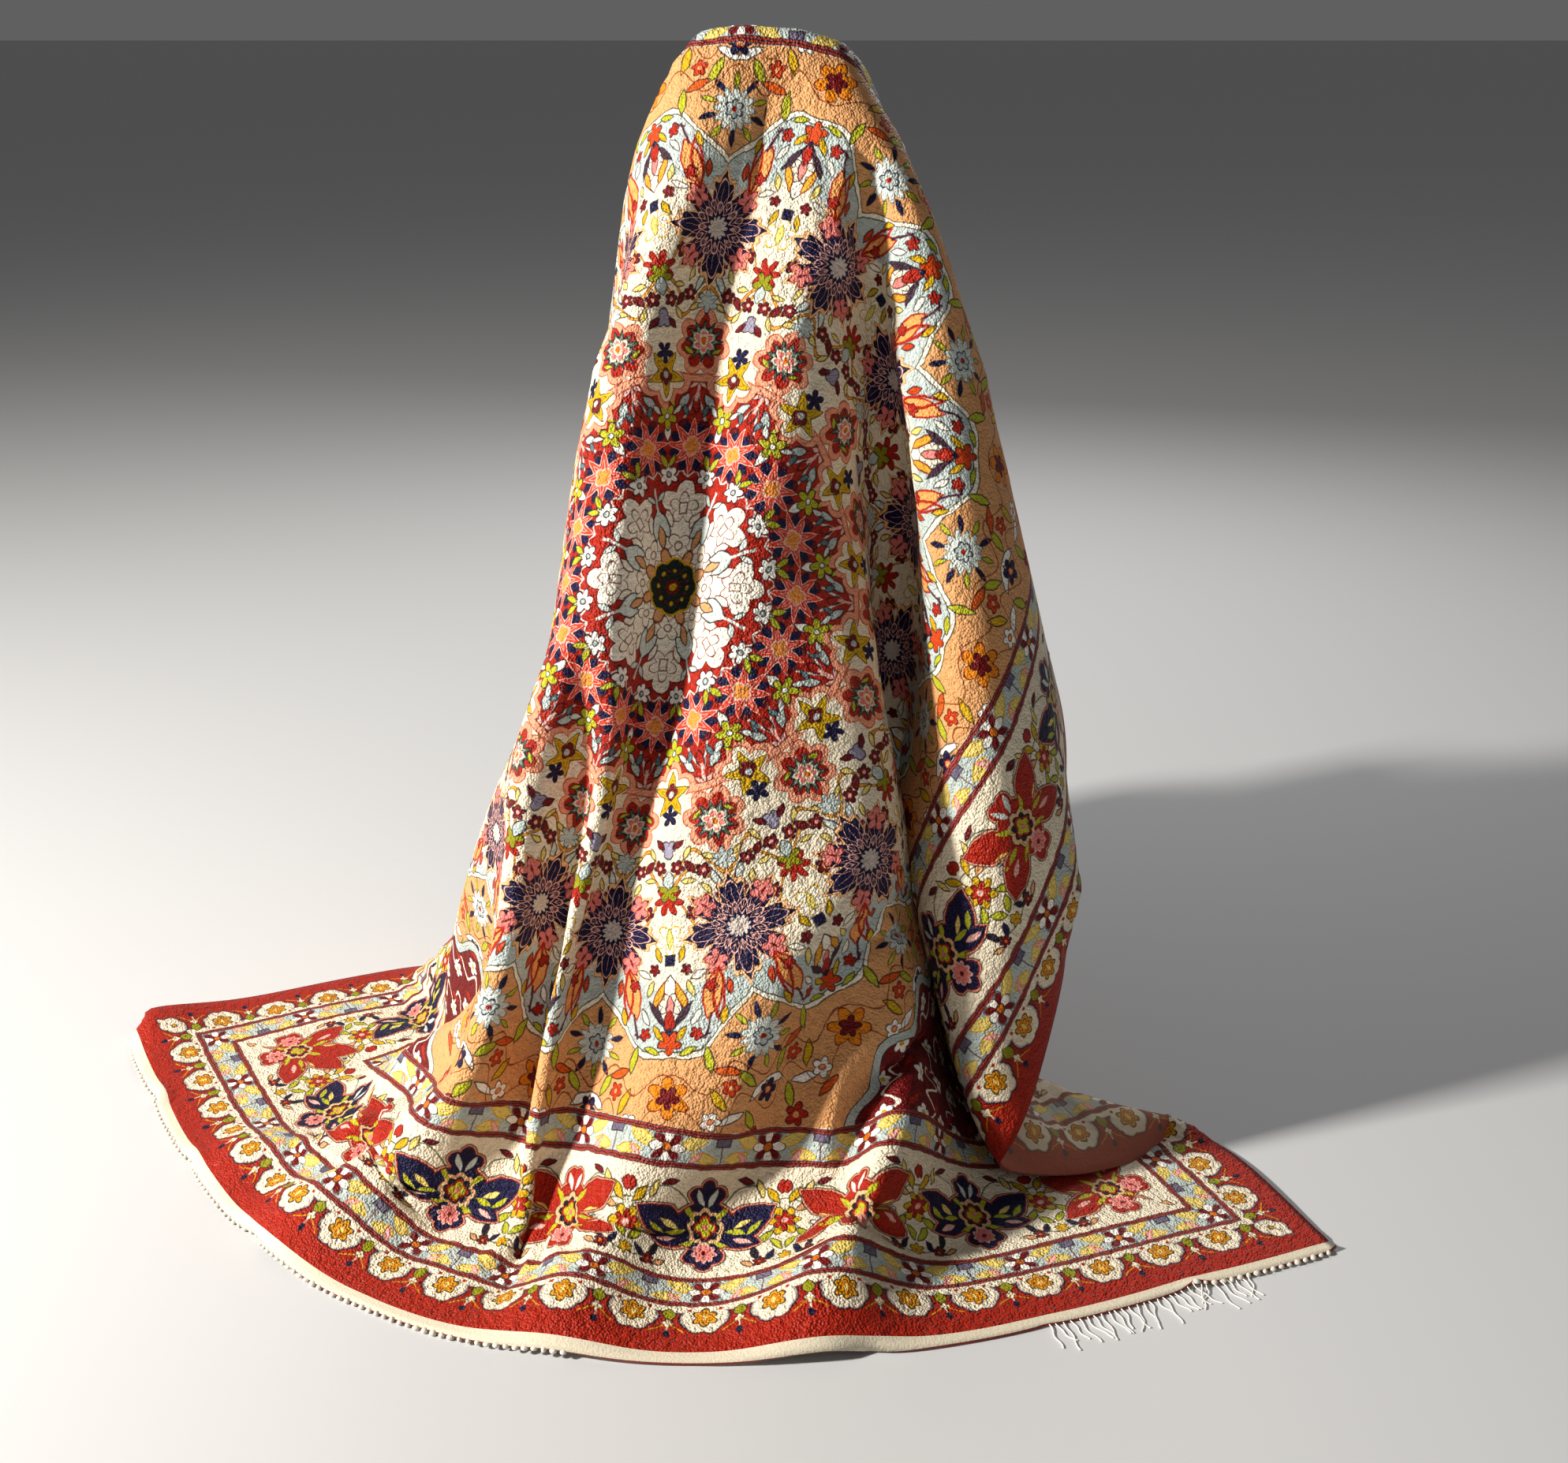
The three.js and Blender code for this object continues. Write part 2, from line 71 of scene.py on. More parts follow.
# %% Spots on the floor and over the crest
HEM = table("u x y border_x border_y", [
    (-1000, -925, 50, None, None),
    (-795, -840, -140, -695, 0),
    (-600, -735, -300, -580, -165),
    (-400, -615, -460, -505, -295),
    (-200, -460, -595, -410, -400),
    (0, -285, -685, -260, -450),
    (200, -85, -700, -85, -485),
    (400, 115, -675, 70, -460),
    (600, 310, -620, 245, -450),
    (795, 495, -550, 430, -355),
    (1000, 685, -480, 620, -290),
])
FLOOR = table("u v x y z hold", [
    (-1000, -825, -815, 175, 3, 1),
    (-1000, -660, -660, 220, 3, 1),
    (-1000, -470, -470, 250, 3, 1),
    (-695, -695, -545, -30, 5, 0.6),
    (-695, -550, -490, 30, 20, 0.3),
    (895, -760, 515, -285, 5, 0.6),
    (1000, -735, 605, -230, 5, 1),
    (1000, -620, 490, -290, 15, 0.8),
    (1000, -495, 380, -345, 30, 0.8),
    (1000, -365, 265, -405, 50, 1),
    (935, -615, 490, -255, 60, 0.6),
    (910, -495, 380, -290, 45, 0.6),
    (825, -495, 340, -220, 10, 0.6),
    (825, -635, 415, -185, 5, 0.5),
    (745, -580, 305, -160, 5, 0.4),
    (600, -675, 220, -345, 15, 0.3),
])
CREST = table("u v x y z hold", [
    (-105, 690, -80, 0, 1435, 1),
    (0, 690, -25, 0, 1445, 1),
    (70, 690, 30, 0, 1445, 1),
    (130, 695, 80, 0, 1435, 1),
    (-70, 770, -60, 55, 1380, 0.5),
    (40, 770, 5, 55, 1380, 0.5),
    (125, 770, 75, 55, 1380, 0.5),
    (-70, 1000, -75, 90, 1160, 0.4),
    (40, 1000, 5, 90, 1160, 0.4),
    (140, 1000, 105, 90, 1160, 0.4),
])
print("spots on the floor:", len(HEM) + len(FLOOR), "and over the crest:", len(CREST))

# %% Folds in front, each from the crest down
FOLD_HOLD = 0.5
FRONT_FOLDS = {
    "left silhouette": [
        (-160, 525, -170, -15, 1265), (-205, 40, -245, -195, 815), (-275, -415, -345, -305, 385),
        (-295, -670, -395, -360, 130),
    ],
    "left ridge": [
        (-205, -145, -265, -305, 660), (-205, -415, -280, -380, 420), (-220, -670, -350, -435, 175),
    ],
    "left valley": [
        (-100, -205, -210, -260, 565), (-125, -415, -245, -310, 390), (-145, -670, -330, -370, 135),
    ],
    "middle ridge": [
        (-70, 260, -145, -150, 1020), (-75, -150, -180, -330, 660), (-60, -425, -220, -415, 430),
        (-70, -670, -280, -455, 180),
    ],
    "middle valley": [
        (0, 450, -55, -55, 1190), (0, 180, -90, -125, 930), (0, -180, -145, -250, 605),
        (0, -450, -180, -345, 360), (0, -670, -225, -405, 140),
    ],
    "right ridge": [
        (60, 165, -40, -185, 925), (70, -165, -90, -310, 630), (75, -670, -155, -450, 165),
    ],
    "broad panel": [
        (125, 540, 65, -55, 1270), (130, 130, 5, -205, 885), (145, -215, -30, -340, 575),
        (205, -670, -45, -490, 150),
    ],
    "panel edge": [
        (180, 440, 105, -85, 1180), (275, 40, 125, -220, 790), (340, -315, 140, -360, 455),
        (515, -670, 170, -425, 185),
    ],
    "deep gap": [
        (260, 400, 145, 30, 1145), (415, 40, 180, 15, 745), (580, -305, 205, -55, 385),
        (730, -550, 285, -165, 30),
    ],
    "wing front": [
        (220, 540, 130, -55, 1250), (360, 350, 160, -110, 1015), (515, 165, 190, -195, 745),
        (760, -185, 205, -330, 295), (995, -365, 265, -405, 40),
    ],
    "wing outer": [
        (250, 635, 150, -15, 1310), (470, 455, 275, -55, 1005), (655, 305, 330, -110, 775),
        (815, 150, 390, -165, 530), (980, -30, 415, -235, 375),
    ],
    "wing middle": [
        (695, 75, 275, -290, 575), (795, 0, 320, -290, 455), (895, -220, 285, -360, 215),
    ],
}
print("front folds:", ", ".join(FRONT_FOLDS))

# %% Folds behind, straight from a shoulder of the crest
SHOULDERS = {
    "left": {"u": -95, "v": 690, "place": (-105, 0, 1390), "side": -1},
    "right": {"u": 140, "v": 690, "place": (105, 0, 1390), "side": 1},
}
BACK_HOLD = 0.4
BACK_SPOTS = (0.3, 0.65, 1.0)
BACK_FOLDS = table("shoulder turn lean_x lean_y length", [
    ("right", 75, 0.33, 0.2, 890),
    ("right", 95, 0.12, 0.4, 860),
    ("right", 112, 0.25, 0.52, 925),
    ("right", 135, 0.05, 0.24, 425),
    ("left", 24, -0.225, -0.08, 1435),
    ("left", 39, -0.237, 0.17, 1435),
    ("left", 62, -0.17, 0.53, 1005),
    ("left", 82, -0.02, 0.27, 910),
    ("left", 104, -0.1, 0.58, 925),
    ("left", 130, 0.03, 0.25, 455),
])
print("back folds:", len(BACK_FOLDS))

# %% Gather every guide
HEM_HOLD = 1
HEM_Z = 3
BORDER_HOLD = 0.6
BORDER_V = -795
BORDER_Z = 7


def guide_rows():
    rows = []
    for spot in HEM:
        rows.append((spot["u"], -LENGTH / 2, spot["x"], spot["y"], HEM_Z, HEM_HOLD))
        if spot["border_x"] is not None:
            rows.append((spot["u"], BORDER_V, spot["border_x"], spot["border_y"], BORDER_Z, BORDER_HOLD))
    rows += [tuple(spot.values()) for spot in FLOOR + CREST]
    for fold in FRONT_FOLDS.values():
        for spot, after in zip(fold, fold[1:] + [None]):
            rows.append((*spot, FOLD_HOLD))
            if after:
                rows.append((*[(a + b) / 2 for a, b in zip(spot, after)], FOLD_HOLD))
    for fold in BACK_FOLDS:
        top = SHOULDERS[fold["shoulder"]]
        turn = math.radians(fold["turn"])
        lean = np.array([fold["lean_x"], fold["lean_y"]])
        slope = np.append(lean, -math.sqrt(1 - lean @ lean))
        for share in BACK_SPOTS:
            along = share * fold["length"]
            u = top["u"] + top["side"] * math.sin(turn) * along
            v = top["v"] - math.cos(turn) * along
            if abs(u) <= WIDTH / 2 and abs(v) <= LENGTH / 2:
                rows.append((u, v, *(np.array(top["place"]) + slope * along), BACK_HOLD))
    return np.array(rows, float)


guides = guide_rows()
print("guides:", len(guides))

# %% The plate bent through the guides
METRE = 1000.0
PLATE_SMOOTHING = 3.8e-4
TINY_SQUARE = 2.3e-14  # keeps the logarithm finite where a spot meets itself


def plate_bend(square):
    return 0.5 * square * np.log(square + TINY_SQUARE)


def plane_terms(spots):
    return np.column_stack([np.ones(len(spots)), spots / METRE])


def squares_apart(first, second):
    return ((first[:, None] - second[None]) ** 2).sum(-1)


def bent_plate(guides, spots):
    tied = guides[:, :2]
    count = len(tied)
    system = np.zeros((count + 3, count + 3))
    bend = plate_bend(squares_apart(tied, tied) / METRE**2)
    system[:count, :count] = bend + np.eye(count) * PLATE_SMOOTHING
    system[:count, count:] = plane_terms(tied)
    system[count:, :count] = plane_terms(tied).T
    wanted = np.vstack([guides[:, 2:5], np.zeros((3, 3))])
    weights = np.linalg.solve(system, wanted)
    bend = plate_bend(squares_apart(spots, tied) / METRE**2)
    return bend @ weights[:count] + plane_terms(spots) @ weights[count:]


# %% Settle the cloth
CRUSH = 0.5  # how much of its strength a thread has when it is pressed together
SHEAR = 0.5
NO_LENGTH = 1e-6
THREAD_PASSES = 3
NEIGHBOURS = ((0, 1), (1, 0), (1, 1), (1, -1))


def flatten(places, strength):
    mean = (places[:-2] + places[2:]) / 2
    places[1:-1] += strength * (mean - places[1:-1])
    mean = (places[:, :-2] + places[:, 2:]) / 2
    places[:, 1:-1] += strength * (mean - places[:, 1:-1])


def guide_ties(places, guides):
    """For each corner of the square that a guide lies in: its row, its column and the guide's share of it."""
    side = len(places)
    step = np.array([WIDTH, LENGTH]) / (side - 1)
    where = (guides[:, :2] + np.array([WIDTH, LENGTH]) / 2) / step
    corner = np.clip(where.astype(int), 0, side - 2)
    i, j = corner.T
    a, b = np.clip(where - corner, 0, 1).T
    return (
        (j, i, (1 - a) * (1 - b)),
        (j, i + 1, a * (1 - b)),
        (j + 1, i, (1 - a) * b),
        (j + 1, i + 1, a * b),
    )


def restore(places, first, second, length, strength):
    """Moves two sets of points towards their right distance."""
    gap = places[second] - places[first]
    now = np.linalg.norm(gap, axis=-1, keepdims=True) + NO_LENGTH
    resisted = np.where(now < length, strength * CRUSH, strength)
    move = (now - length) / now * resisted / 2 * gap
    places[first] += move
    places[second] -= move


def restore_threads(places, down, across):
    """Every thread of one direction. Even and odd ones take turns, so that no point moves twice at once."""
    side = len(places)
    length = np.hypot(down * LENGTH / (side - 1), across * WIDTH / (side - 1))
    for parity in (0, 1):
        if down:
            row = slice(parity, side - 1, 2)
            row_after = slice(parity + 1, side, 2)
            column = slice(1, side) if across < 0 else slice(0, side - across)
            after = slice(0, side - 1) if across < 0 else slice(across, side)
        else:
            row = row_after = slice(0, side)
            column = slice(parity, side - 1, 2)
            after = slice(parity + 1, side, 2)
        restore(places, (row, column), (row_after, after), length, SHEAR if down and across else 1.0)


def settle(places, guides, rounds, hold_start, hold_end, bend):
    ties = guide_ties(places, guides)
    square = sum(share**2 for _, _, share in ties)
    for turn in range(rounds):
        hold = hold_end + (hold_start - hold_end) * (1 - turn / rounds)
        now = sum(share[:, None] * places[row, column] for row, column, share in ties)
        pull = (guides[:, 2:5] - now) * guides[:, 5:6] * hold
        for row, column, share in ties:
            np.add.at(places, (row, column), pull * (share / square)[:, None])
        flatten(places, bend)
        for _ in range(THREAD_PASSES):
            for down, across in NEIGHBOURS:
                restore_threads(places, down, across)
        places[..., 2] = np.maximum(places[..., 2], THICKNESS / 2)
    return places


# %% The coarse drape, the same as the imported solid's middle
def grid_spots(side):
    us = np.linspace(-WIDTH / 2, WIDTH / 2, side)
    vs = np.linspace(-LENGTH / 2, LENGTH / 2, side)
    return np.stack(np.meshgrid(us, vs), -1).reshape(-1, 2)


side = CELLS + 1
coarse = bent_plate(guides, grid_spots(side)).reshape(side, side, 3)
coarse = settle(coarse, guides, rounds=400, hold_start=0.72, hold_end=0.2, bend=0.14)
for _ in range(2):
    flatten(coarse, strength=0.3)
print("coarse drape from", coarse.min((0, 1)).round(), "to", coarse.max((0, 1)).round())

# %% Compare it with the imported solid
SAMPLE_STEP = 5
solid_points = np.array([point.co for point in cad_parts["rug"].data.vertices]) * METRE
sample = coarse[::SAMPLE_STEP, ::SAMPLE_STEP].reshape(-1, 3)
gaps = np.sqrt(squares_apart(sample, solid_points).min(1))
print(f"packed skin lies {gaps.mean():.2f} mm from the middle surface, {gaps.max():.2f} mm at most")

# %% [markdown]
# ## A fine, smooth sheet
# A silk rug bends in smooth curves, with no flat squares. More rounds on a finer grid would be slow, so
# the coarse drape is read again through cubic curves, and only then gets its sharp creases. Some lines
# of the sheet run exactly along the borders, where the finish changes.

# %% Cubic curves through evenly spaced rows
def curve_matrix(count, wanted):
    """Rows that turn count even samples into the values of a natural cubic curve at wanted."""
    bend_system = np.zeros((count, count))
    pull = np.zeros((count, count))
    bend_system[0, 0] = bend_system[-1, -1] = 1
    for k in range(1, count - 1):
        bend_system[k, k - 1 : k + 2] = 1, 4, 1
        pull[k, k - 1 : k + 2] = 6, -12, 6
    second = np.linalg.solve(bend_system, pull)
    low = np.clip(wanted.astype(int), 0, count - 2)
    t = wanted - low
    rows = np.zeros((len(wanted), count))
    index = np.arange(len(wanted))
    rows[index, low] += 1 - t
    rows[index, low + 1] += t
    rows += ((1 - t) ** 3 - (1 - t))[:, None] / 6 * second[low]
    rows += (t**3 - t)[:, None] / 6 * second[low + 1]
    return rows


def resample(places, us, vs):
    """The surface's places at every pair of the given u and v."""
    count = len(places)
    rows = curve_matrix(count, (vs + LENGTH / 2) / LENGTH * (count - 1))
    columns = curve_matrix(count, (us + WIDTH / 2) / WIDTH * (count - 1))
    return np.einsum("rj,jik,ci->rck", rows, places, columns)


# %% Creases too sharp for the coarse squares
CREASES = table("u_from v_from u_to v_to depth width", [
    (0, 440, 0, 100, -34, 40),
    (0, 140, -5, -460, -96, 46),
    (0, -420, -25, -840, -92, 50),
    (66, 165, 74, -670, 32, 36),
    (-72, 120, -66, -670, 44, 36),
    (-120, -150, -160, -800, -56, 40),
    (-205, -145, -225, -670, 30, 38),
    (275, 40, 340, -315, 34, 42),
    (340, -315, 500, -660, 34, 42),
    (330, 250, 415, 40, -50, 50),
    (415, 40, 580, -305, -74, 52),
    (580, -305, 700, -520, -50, 52),
    (500, -640, 345, -950, 100, 46),
    (90, -650, 38, -950, 80, 42),
    (-225, -640, -375, -950, 74, 46),
    (-330, -700, -560, -950, 46, 40),
])
print("creases:", len(CREASES))


CREASE_START = 0.25  # share of its depth that a crease has at its first end
CREASE_RISE = 4  # it is at full depth a quarter of the way along


def crease_push(us, vs):
    """How far each point of the sheet is pushed out, negative for in, in millimetres."""
    u, v = np.meshgrid(us, vs)
    push = np.zeros_like(u)
    for crease in CREASES:
        start = np.array([crease["u_from"], crease["v_from"]], float)
        way = np.array([crease["u_to"], crease["v_to"]], float) - start
        along = ((u - start[0]) * way[0] + (v - start[1]) * way[1]) / (way @ way)
        along = np.clip(along, 0, 1)
        off = np.hypot(u - start[0] - along * way[0], v - start[1] - along * way[1])
        fade = CREASE_START + (1 - CREASE_START) * np.clip(along * CREASE_RISE, 0, 1)
        push += crease["depth"] * fade * np.exp(-((off / crease["width"]) ** 2))
    return push


def surface_normals(places):
    across = np.cross(np.gradient(places, axis=1), np.gradient(places, axis=0))
    return across / np.linalg.norm(across, axis=-1, keepdims=True)


# %% Refine the drape
FINE = 150
STEADY_V = (-1000, 250)  # the hem below and the crest above are held, and the folds between them are free
fine_u = np.linspace(-WIDTH / 2, WIDTH / 2, FINE + 1)
fine_v = np.linspace(-LENGTH / 2, LENGTH / 2, FINE + 1)
fine = resample(coarse, fine_u, fine_v)
fine += surface_normals(fine) * crease_push(fine_u, fine_v)[..., None]
steady_guides = guides[(guides[:, 1] < STEADY_V[0]) | (guides[:, 1] > STEADY_V[1])]
fine = settle(fine, steady_guides, rounds=30, hold_start=0.14, hold_end=0.14, bend=0.1)
print("fine drape:", fine.shape)

# %% Lines of the sheet
FIELD = 4.87 * CELL  # from the middle to the inner border
SHEET_STEP = 10.5


def lines(*stops):
    parts = []
    for start, end in zip(stops, stops[1:]):
        count = max(1, round((end - start) / SHEET_STEP))
        parts.append(np.linspace(start, end, count, endpoint=False))
    return np.concatenate([*parts, [stops[-1]]])


sheet_u = lines(-WIDTH / 2, -FIELD, FIELD, WIDTH / 2)
sheet_v = lines(-LENGTH / 2, -PILE_LENGTH / 2, -FIELD, FIELD, PILE_LENGTH / 2, LENGTH / 2)
sheet = resample(fine, sheet_u, sheet_v)
print("sheet lines:", len(sheet_u), "by", len(sheet_v))

# %% [markdown]
# ## Shader maths as expressions
# The weaver ties the pattern knot by knot. A picture could carry it, but here formulas draw it, so that
# it stays sharp at any distance. A small class wraps a socket, and its operators add the Math nodes.
# Every place and size in the drawing is in repeats of the narrow border, and turns are in degrees.

# %% A socket that can be added, multiplied and compared
class Wire:
    """An output socket on a board. Its operators add the Math nodes of an expression."""

    def __init__(self, board, socket):
        self.board = board
        self.socket = socket

    def math(self, operation, *others, clamp=False):
        return self.board.math(operation, self, *others, clamp=clamp)

    def __add__(self, other):
        return self.math("ADD", other)

    def __sub__(self, other):
        return self.math("SUBTRACT", other)

    def __rsub__(self, other):
        return self.board.math("SUBTRACT", other, self)

    def __mul__(self, other):
        return self.math("MULTIPLY", other)

    def __abs__(self):
        return self.math("ABSOLUTE")

    def __neg__(self):
        return self.math("MULTIPLY", -1.0)

    __radd__ = __add__
    __rmul__ = __mul__


class Board:
    """The node board of one material, one node group or one Geometry Nodes tree."""

    def __init__(self, tree):
        self.tree = tree

    def node(self, kind, settings=None, values=None, output=0):
        made = self.tree.nodes.new(kind)
        for name, value in (settings or {}).items():
            setattr(made, name, value)
        for name, value in (values or {}).items():
            self.feed(made.inputs[name], value)
        return Wire(self, made.outputs[output]) if made.outputs else made

    def feed(self, socket, value):
        if isinstance(value, Wire):
            self.tree.links.new(value.socket, socket)
        elif isinstance(value, tuple) and len(value) == 3 and socket.type == "RGBA":
            socket.default_value = (*value, 1.0)
        else:
            socket.default_value = value

    def math(self, operation, *values, clamp=False):
        settings = {"operation": operation, "use_clamp": clamp}
        return self.node("ShaderNodeMath", settings, dict(enumerate(values)))

    def vector(self, operation, *values, output=0):
        return self.node("ShaderNodeVectorMath", {"operation": operation}, dict(enumerate(values)), output)

    def combine(self, x, y):
        return self.node("ShaderNodeCombineXYZ", None, {0: x, 1: y})

    def mix(self, share, first, second):
        return self.node("ShaderNodeMix", {"data_type": "RGBA"}, {0: share, 6: first, 7: second}, output=2)

    def mix_numbers(self, share, first, second):
        return self.node("ShaderNodeMix", {"data_type": "FLOAT"}, {0: share, 2: first, 3: second})

    def noise(self, place, scale, detail, output=0, **more):
        values = {"Vector": place, "Scale": scale, "Detail": detail, **more}
        return self.node("ShaderNodeTexNoise", None, values, output)

    def surface(self, **values):
        """The finish itself. Each value is named after its socket."""
        sockets = {name.replace("_", " "): value for name, value in values.items()}
        shader = self.node("ShaderNodeBsdfPrincipled", None, sockets)
        self.node("ShaderNodeOutputMaterial", None, {"Surface": shader})


def material_board(name):
    material = bpy.data.materials.new(name)
    material.use_nodes = True
    material.node_tree.nodes.clear()
    return material, Board(material.node_tree)


def chained(operation, values):
    found = values[0]
    for value in values[1:]:
        found = found.math(operation, value)
    return found


def least(*values):
    return chained("MINIMUM", values)


def most(*values):
    return chained("MAXIMUM", values)


# %% A place on the rug with its own axes
class Spot:
    """A vector from a motif's middle. turned says how far its own axes are turned, in radians."""

    def __init__(self, board, vector, turned=0.0):
        self.board = board
        self.vector = vector
        self.turned = turned
        self.kept = {}

    def keep(self, name, make):
        if name not in self.kept:
            self.kept[name] = make()
        return self.kept[name]

    def along(self, direction_x, direction_y):
        cos, sin = math.cos(self.turned), math.sin(self.turned)
        direction = (direction_x * cos - direction_y * sin, direction_x * sin + direction_y * cos, 0.0)
        return self.board.vector("DOT_PRODUCT", self.vector, direction, output=1)

    @property
    def x(self):
        return self.keep("x", lambda: self.along(1, 0))

    @property
    def y(self):
        return self.keep("y", lambda: self.along(0, 1))

    @property
    def far(self):
        return self.keep("far", lambda: self.board.vector("LENGTH", self.vector, output=1))

    @property
    def turn(self):
        return self.keep("turn", lambda: self.x.math("ARCTAN2", self.y))

    def at(self, x, y, degrees=0.0):
        """A spot moved by x and y, with axes turned anticlockwise. Only an unturned spot is moved."""
        moved = self.board.vector("SUBTRACT", self.vector, (x, y, 0.0))
        return Spot(self.board, moved, math.radians(degrees))

    def disc(self, radius):
        return self.far - radius

    def oval(self, half_x, half_y):
        scaled = self.board.vector("MULTIPLY", self.vector, (1 / half_x, 1 / half_y, 1.0))
        return (self.board.vector("LENGTH", scaled, output=1) - 1.0) * min(half_x, half_y)

    def flower(self, radius, depth, petals, start=0.0):
        wave = (self.turn * petals + math.radians(start * petals)).math("COSINE")
        return self.far - wave.math("MULTIPLY_ADD", depth, radius)

    def petals(self, radius, depth, petals, start=0.0):
        """A flower with pointed notches between its round petals."""
        wave = abs((self.turn * (petals / 2) + math.radians(start * petals / 2)).math("COSINE"))
        return self.far - wave.math("MULTIPLY_ADD", depth, radius)

    def spikes(self, radius, depth, points, start=0.0):
        """A star of pointed petals, with round hollows between them."""
        wave = abs((self.turn * (points / 2) + math.radians(start * points / 2)).math("SINE"))
        return self.far - wave.math("MULTIPLY_ADD", -depth, radius + depth)

    def leaf(self, length, width):
        """A pointed leaf along y, from -length to length."""
        bow = (self.y * self.y).math("MULTIPLY_ADD", -width / length**2, width)
        return abs(self.x) - bow

    def bar(self, half_x, half_y):
        return most(abs(self.x) - half_x, abs(self.y) - half_y)

    def arc(self, radius, half_width):
        return abs(self.far - radius) - half_width


def mirrored(spot):
    return Spot(spot.board, spot.board.combine(abs(spot.x), spot.y))


def line(distance, half_width):
    return abs(distance) - half_width


# %% Node groups, one for each part of the drawing
def drawn_group(name, draw, places):
    group = bpy.data.node_groups.new(name, "ShaderNodeTree")
    group.interface.new_socket("Ground", in_out="INPUT", socket_type="NodeSocketColor")
    for number, place in enumerate(places):
        kind = "NodeSocketVector" if isinstance(place, Spot) else "NodeSocketFloat"
        group.interface.new_socket(f"Place {number}", in_out="INPUT", socket_type=kind)
    group.interface.new_socket("Colour", in_out="OUTPUT", socket_type="NodeSocketColor")
    inner = Board(group)
    entry = group.nodes.new("NodeGroupInput")
    silk = Silk(inner, Wire(inner, entry.outputs[0]))
    given = []
    for place, socket in zip(places, entry.outputs[1:]):
        wire = Wire(inner, socket)
        given.append(Spot(inner, wire) if isinstance(place, Spot) else wire)
    draw(silk, *given)
    inner.node("NodeGroupOutput", None, {0: silk.colour})
    return group


def in_group(board, name, draw, ground, *places):
    """Runs draw on a node group of its own, made once, and returns the colour it leaves."""
    group = bpy.data.node_groups.get(name) or drawn_group(name, draw, places)
    values = {0: ground}
    for number, place in enumerate(places, 1):
        values[number] = place.vector if isinstance(place, Spot) else place
    return board.node("ShaderNodeGroup", {"node_tree": group}, values)


# %% A layer of dyed silk
SHARPNESS = 85.0  # how fast a colour gives way to the next, per repeat
OUTLINE_EXTRA = 0.006  # added to the width of every outline


class Silk:
    """Colours laid one over another, from the ground up."""

    def __init__(self, board, ground):
        self.board = board
        self.colour = ground

    def lay(self, distance, colour, grow=0.0, within=None):
        share = distance.math("MULTIPLY_ADD", -SHARPNESS, 0.5 + grow * SHARPNESS, clamp=True)
        if within is not None:
            share = share * within
        self.colour = self.board.mix(share, self.colour, colour)
        return share

    def outlined(self, distance, colour, outline, width=0.016):
        self.lay(distance, outline, grow=width + OUTLINE_EXTRA)
        return self.lay(distance, colour)

    def rims(self, distance, *rims):
        """One shape in several colours, each grown by its own width, the widest first."""
        for colour, grow in rims:
            share = self.lay(distance, colour, grow=grow)
        return share

    def leaves(self, *rows):
        """Leaves with dark outlines. Each row: spot, x, y, turn, length, width, colour, outline."""
        for spot, x, y, turn, length, width, colour, outline in rows:
            self.outlined(spot.at(x, y, turn).leaf(length, width), colour, INK, outline)


def dye(code):
    """A colour written as on a dyer's card, #rrggbb, turned to light values."""
    shares = [int(code[k : k + 2], 16) / 255 for k in (1, 3, 5)]
    return tuple(s / 12.92 if s <= 0.04045 else ((s + 0.055) / 1.055) ** 2.4 for s in shares)


RED = dye("#a5220f")
BAND_RED = dye("#a0200c")
IVORY = dye("#eee0c6")
CREAM = dye("#f7eedb")
NAVY = dye("#120e34")
INK = dye("#1c1420")
PEACH = dye("#dda474")
ROSE_PEACH = dye("#e8a184")
MIST = dye("#b9c3bd")
PALE_MIST = dye("#d2d9d0")
GOLD = dye("#cfa52c")
STRAW = dye("#e9cf7c")
OLIVE = dye("#8d8a25")
MOSS = dye("#4c5a3a")
PINK = dye("#e38880")
PALE_PINK = dye("#f0b8ab")
MAROON = dye("#6b1416")
ORANGE = dye("#d4702a")
LIME = dye("#b3b23c")
VIOLET_GREY = dye("#6d6377")
SLATE = dye("#5e7478")
WHITE = dye("#fbf6ea")
RUST = dye("#d4581f")
HONEY = dye("#d9a04a")
BRICK = dye("#c34b2c")
UMBER = dye("#8a4a2c")
PLUM = dye("#4a1d30")
DARK_OLIVE = dye("#3b3a1e")
print("dyes ready")

# %% [markdown]
# ## The field
# The real field is a round medallion of sixteen parts on a peach ground, with dark corners. Each motif
# could be drawn sixteen times, but that would be slow. So one part is drawn, and the angle is folded so
# that it repeats. Some motifs stand on the folded axis and others halfway between two axes.


# %% Fold the angle about the middle
def folded_ring(whole, parts):
    """Spots with y outward on the nearest axis, and on the nearest line between two axes."""
    width = 2 * math.pi / parts
    steps = (whole.turn * (1 / width)).math("ROUND")
    lean = abs(steps.math("MULTIPLY_ADD", -width, whole.turn))
    between = width / 2 - lean
    spots = []
    for angle in (lean, between):
        vector = whole.board.combine(whole.far * angle.math("SINE"), whole.far * angle.math("COSINE"))
        spots.append(Spot(whole.board, vector))
    return spots


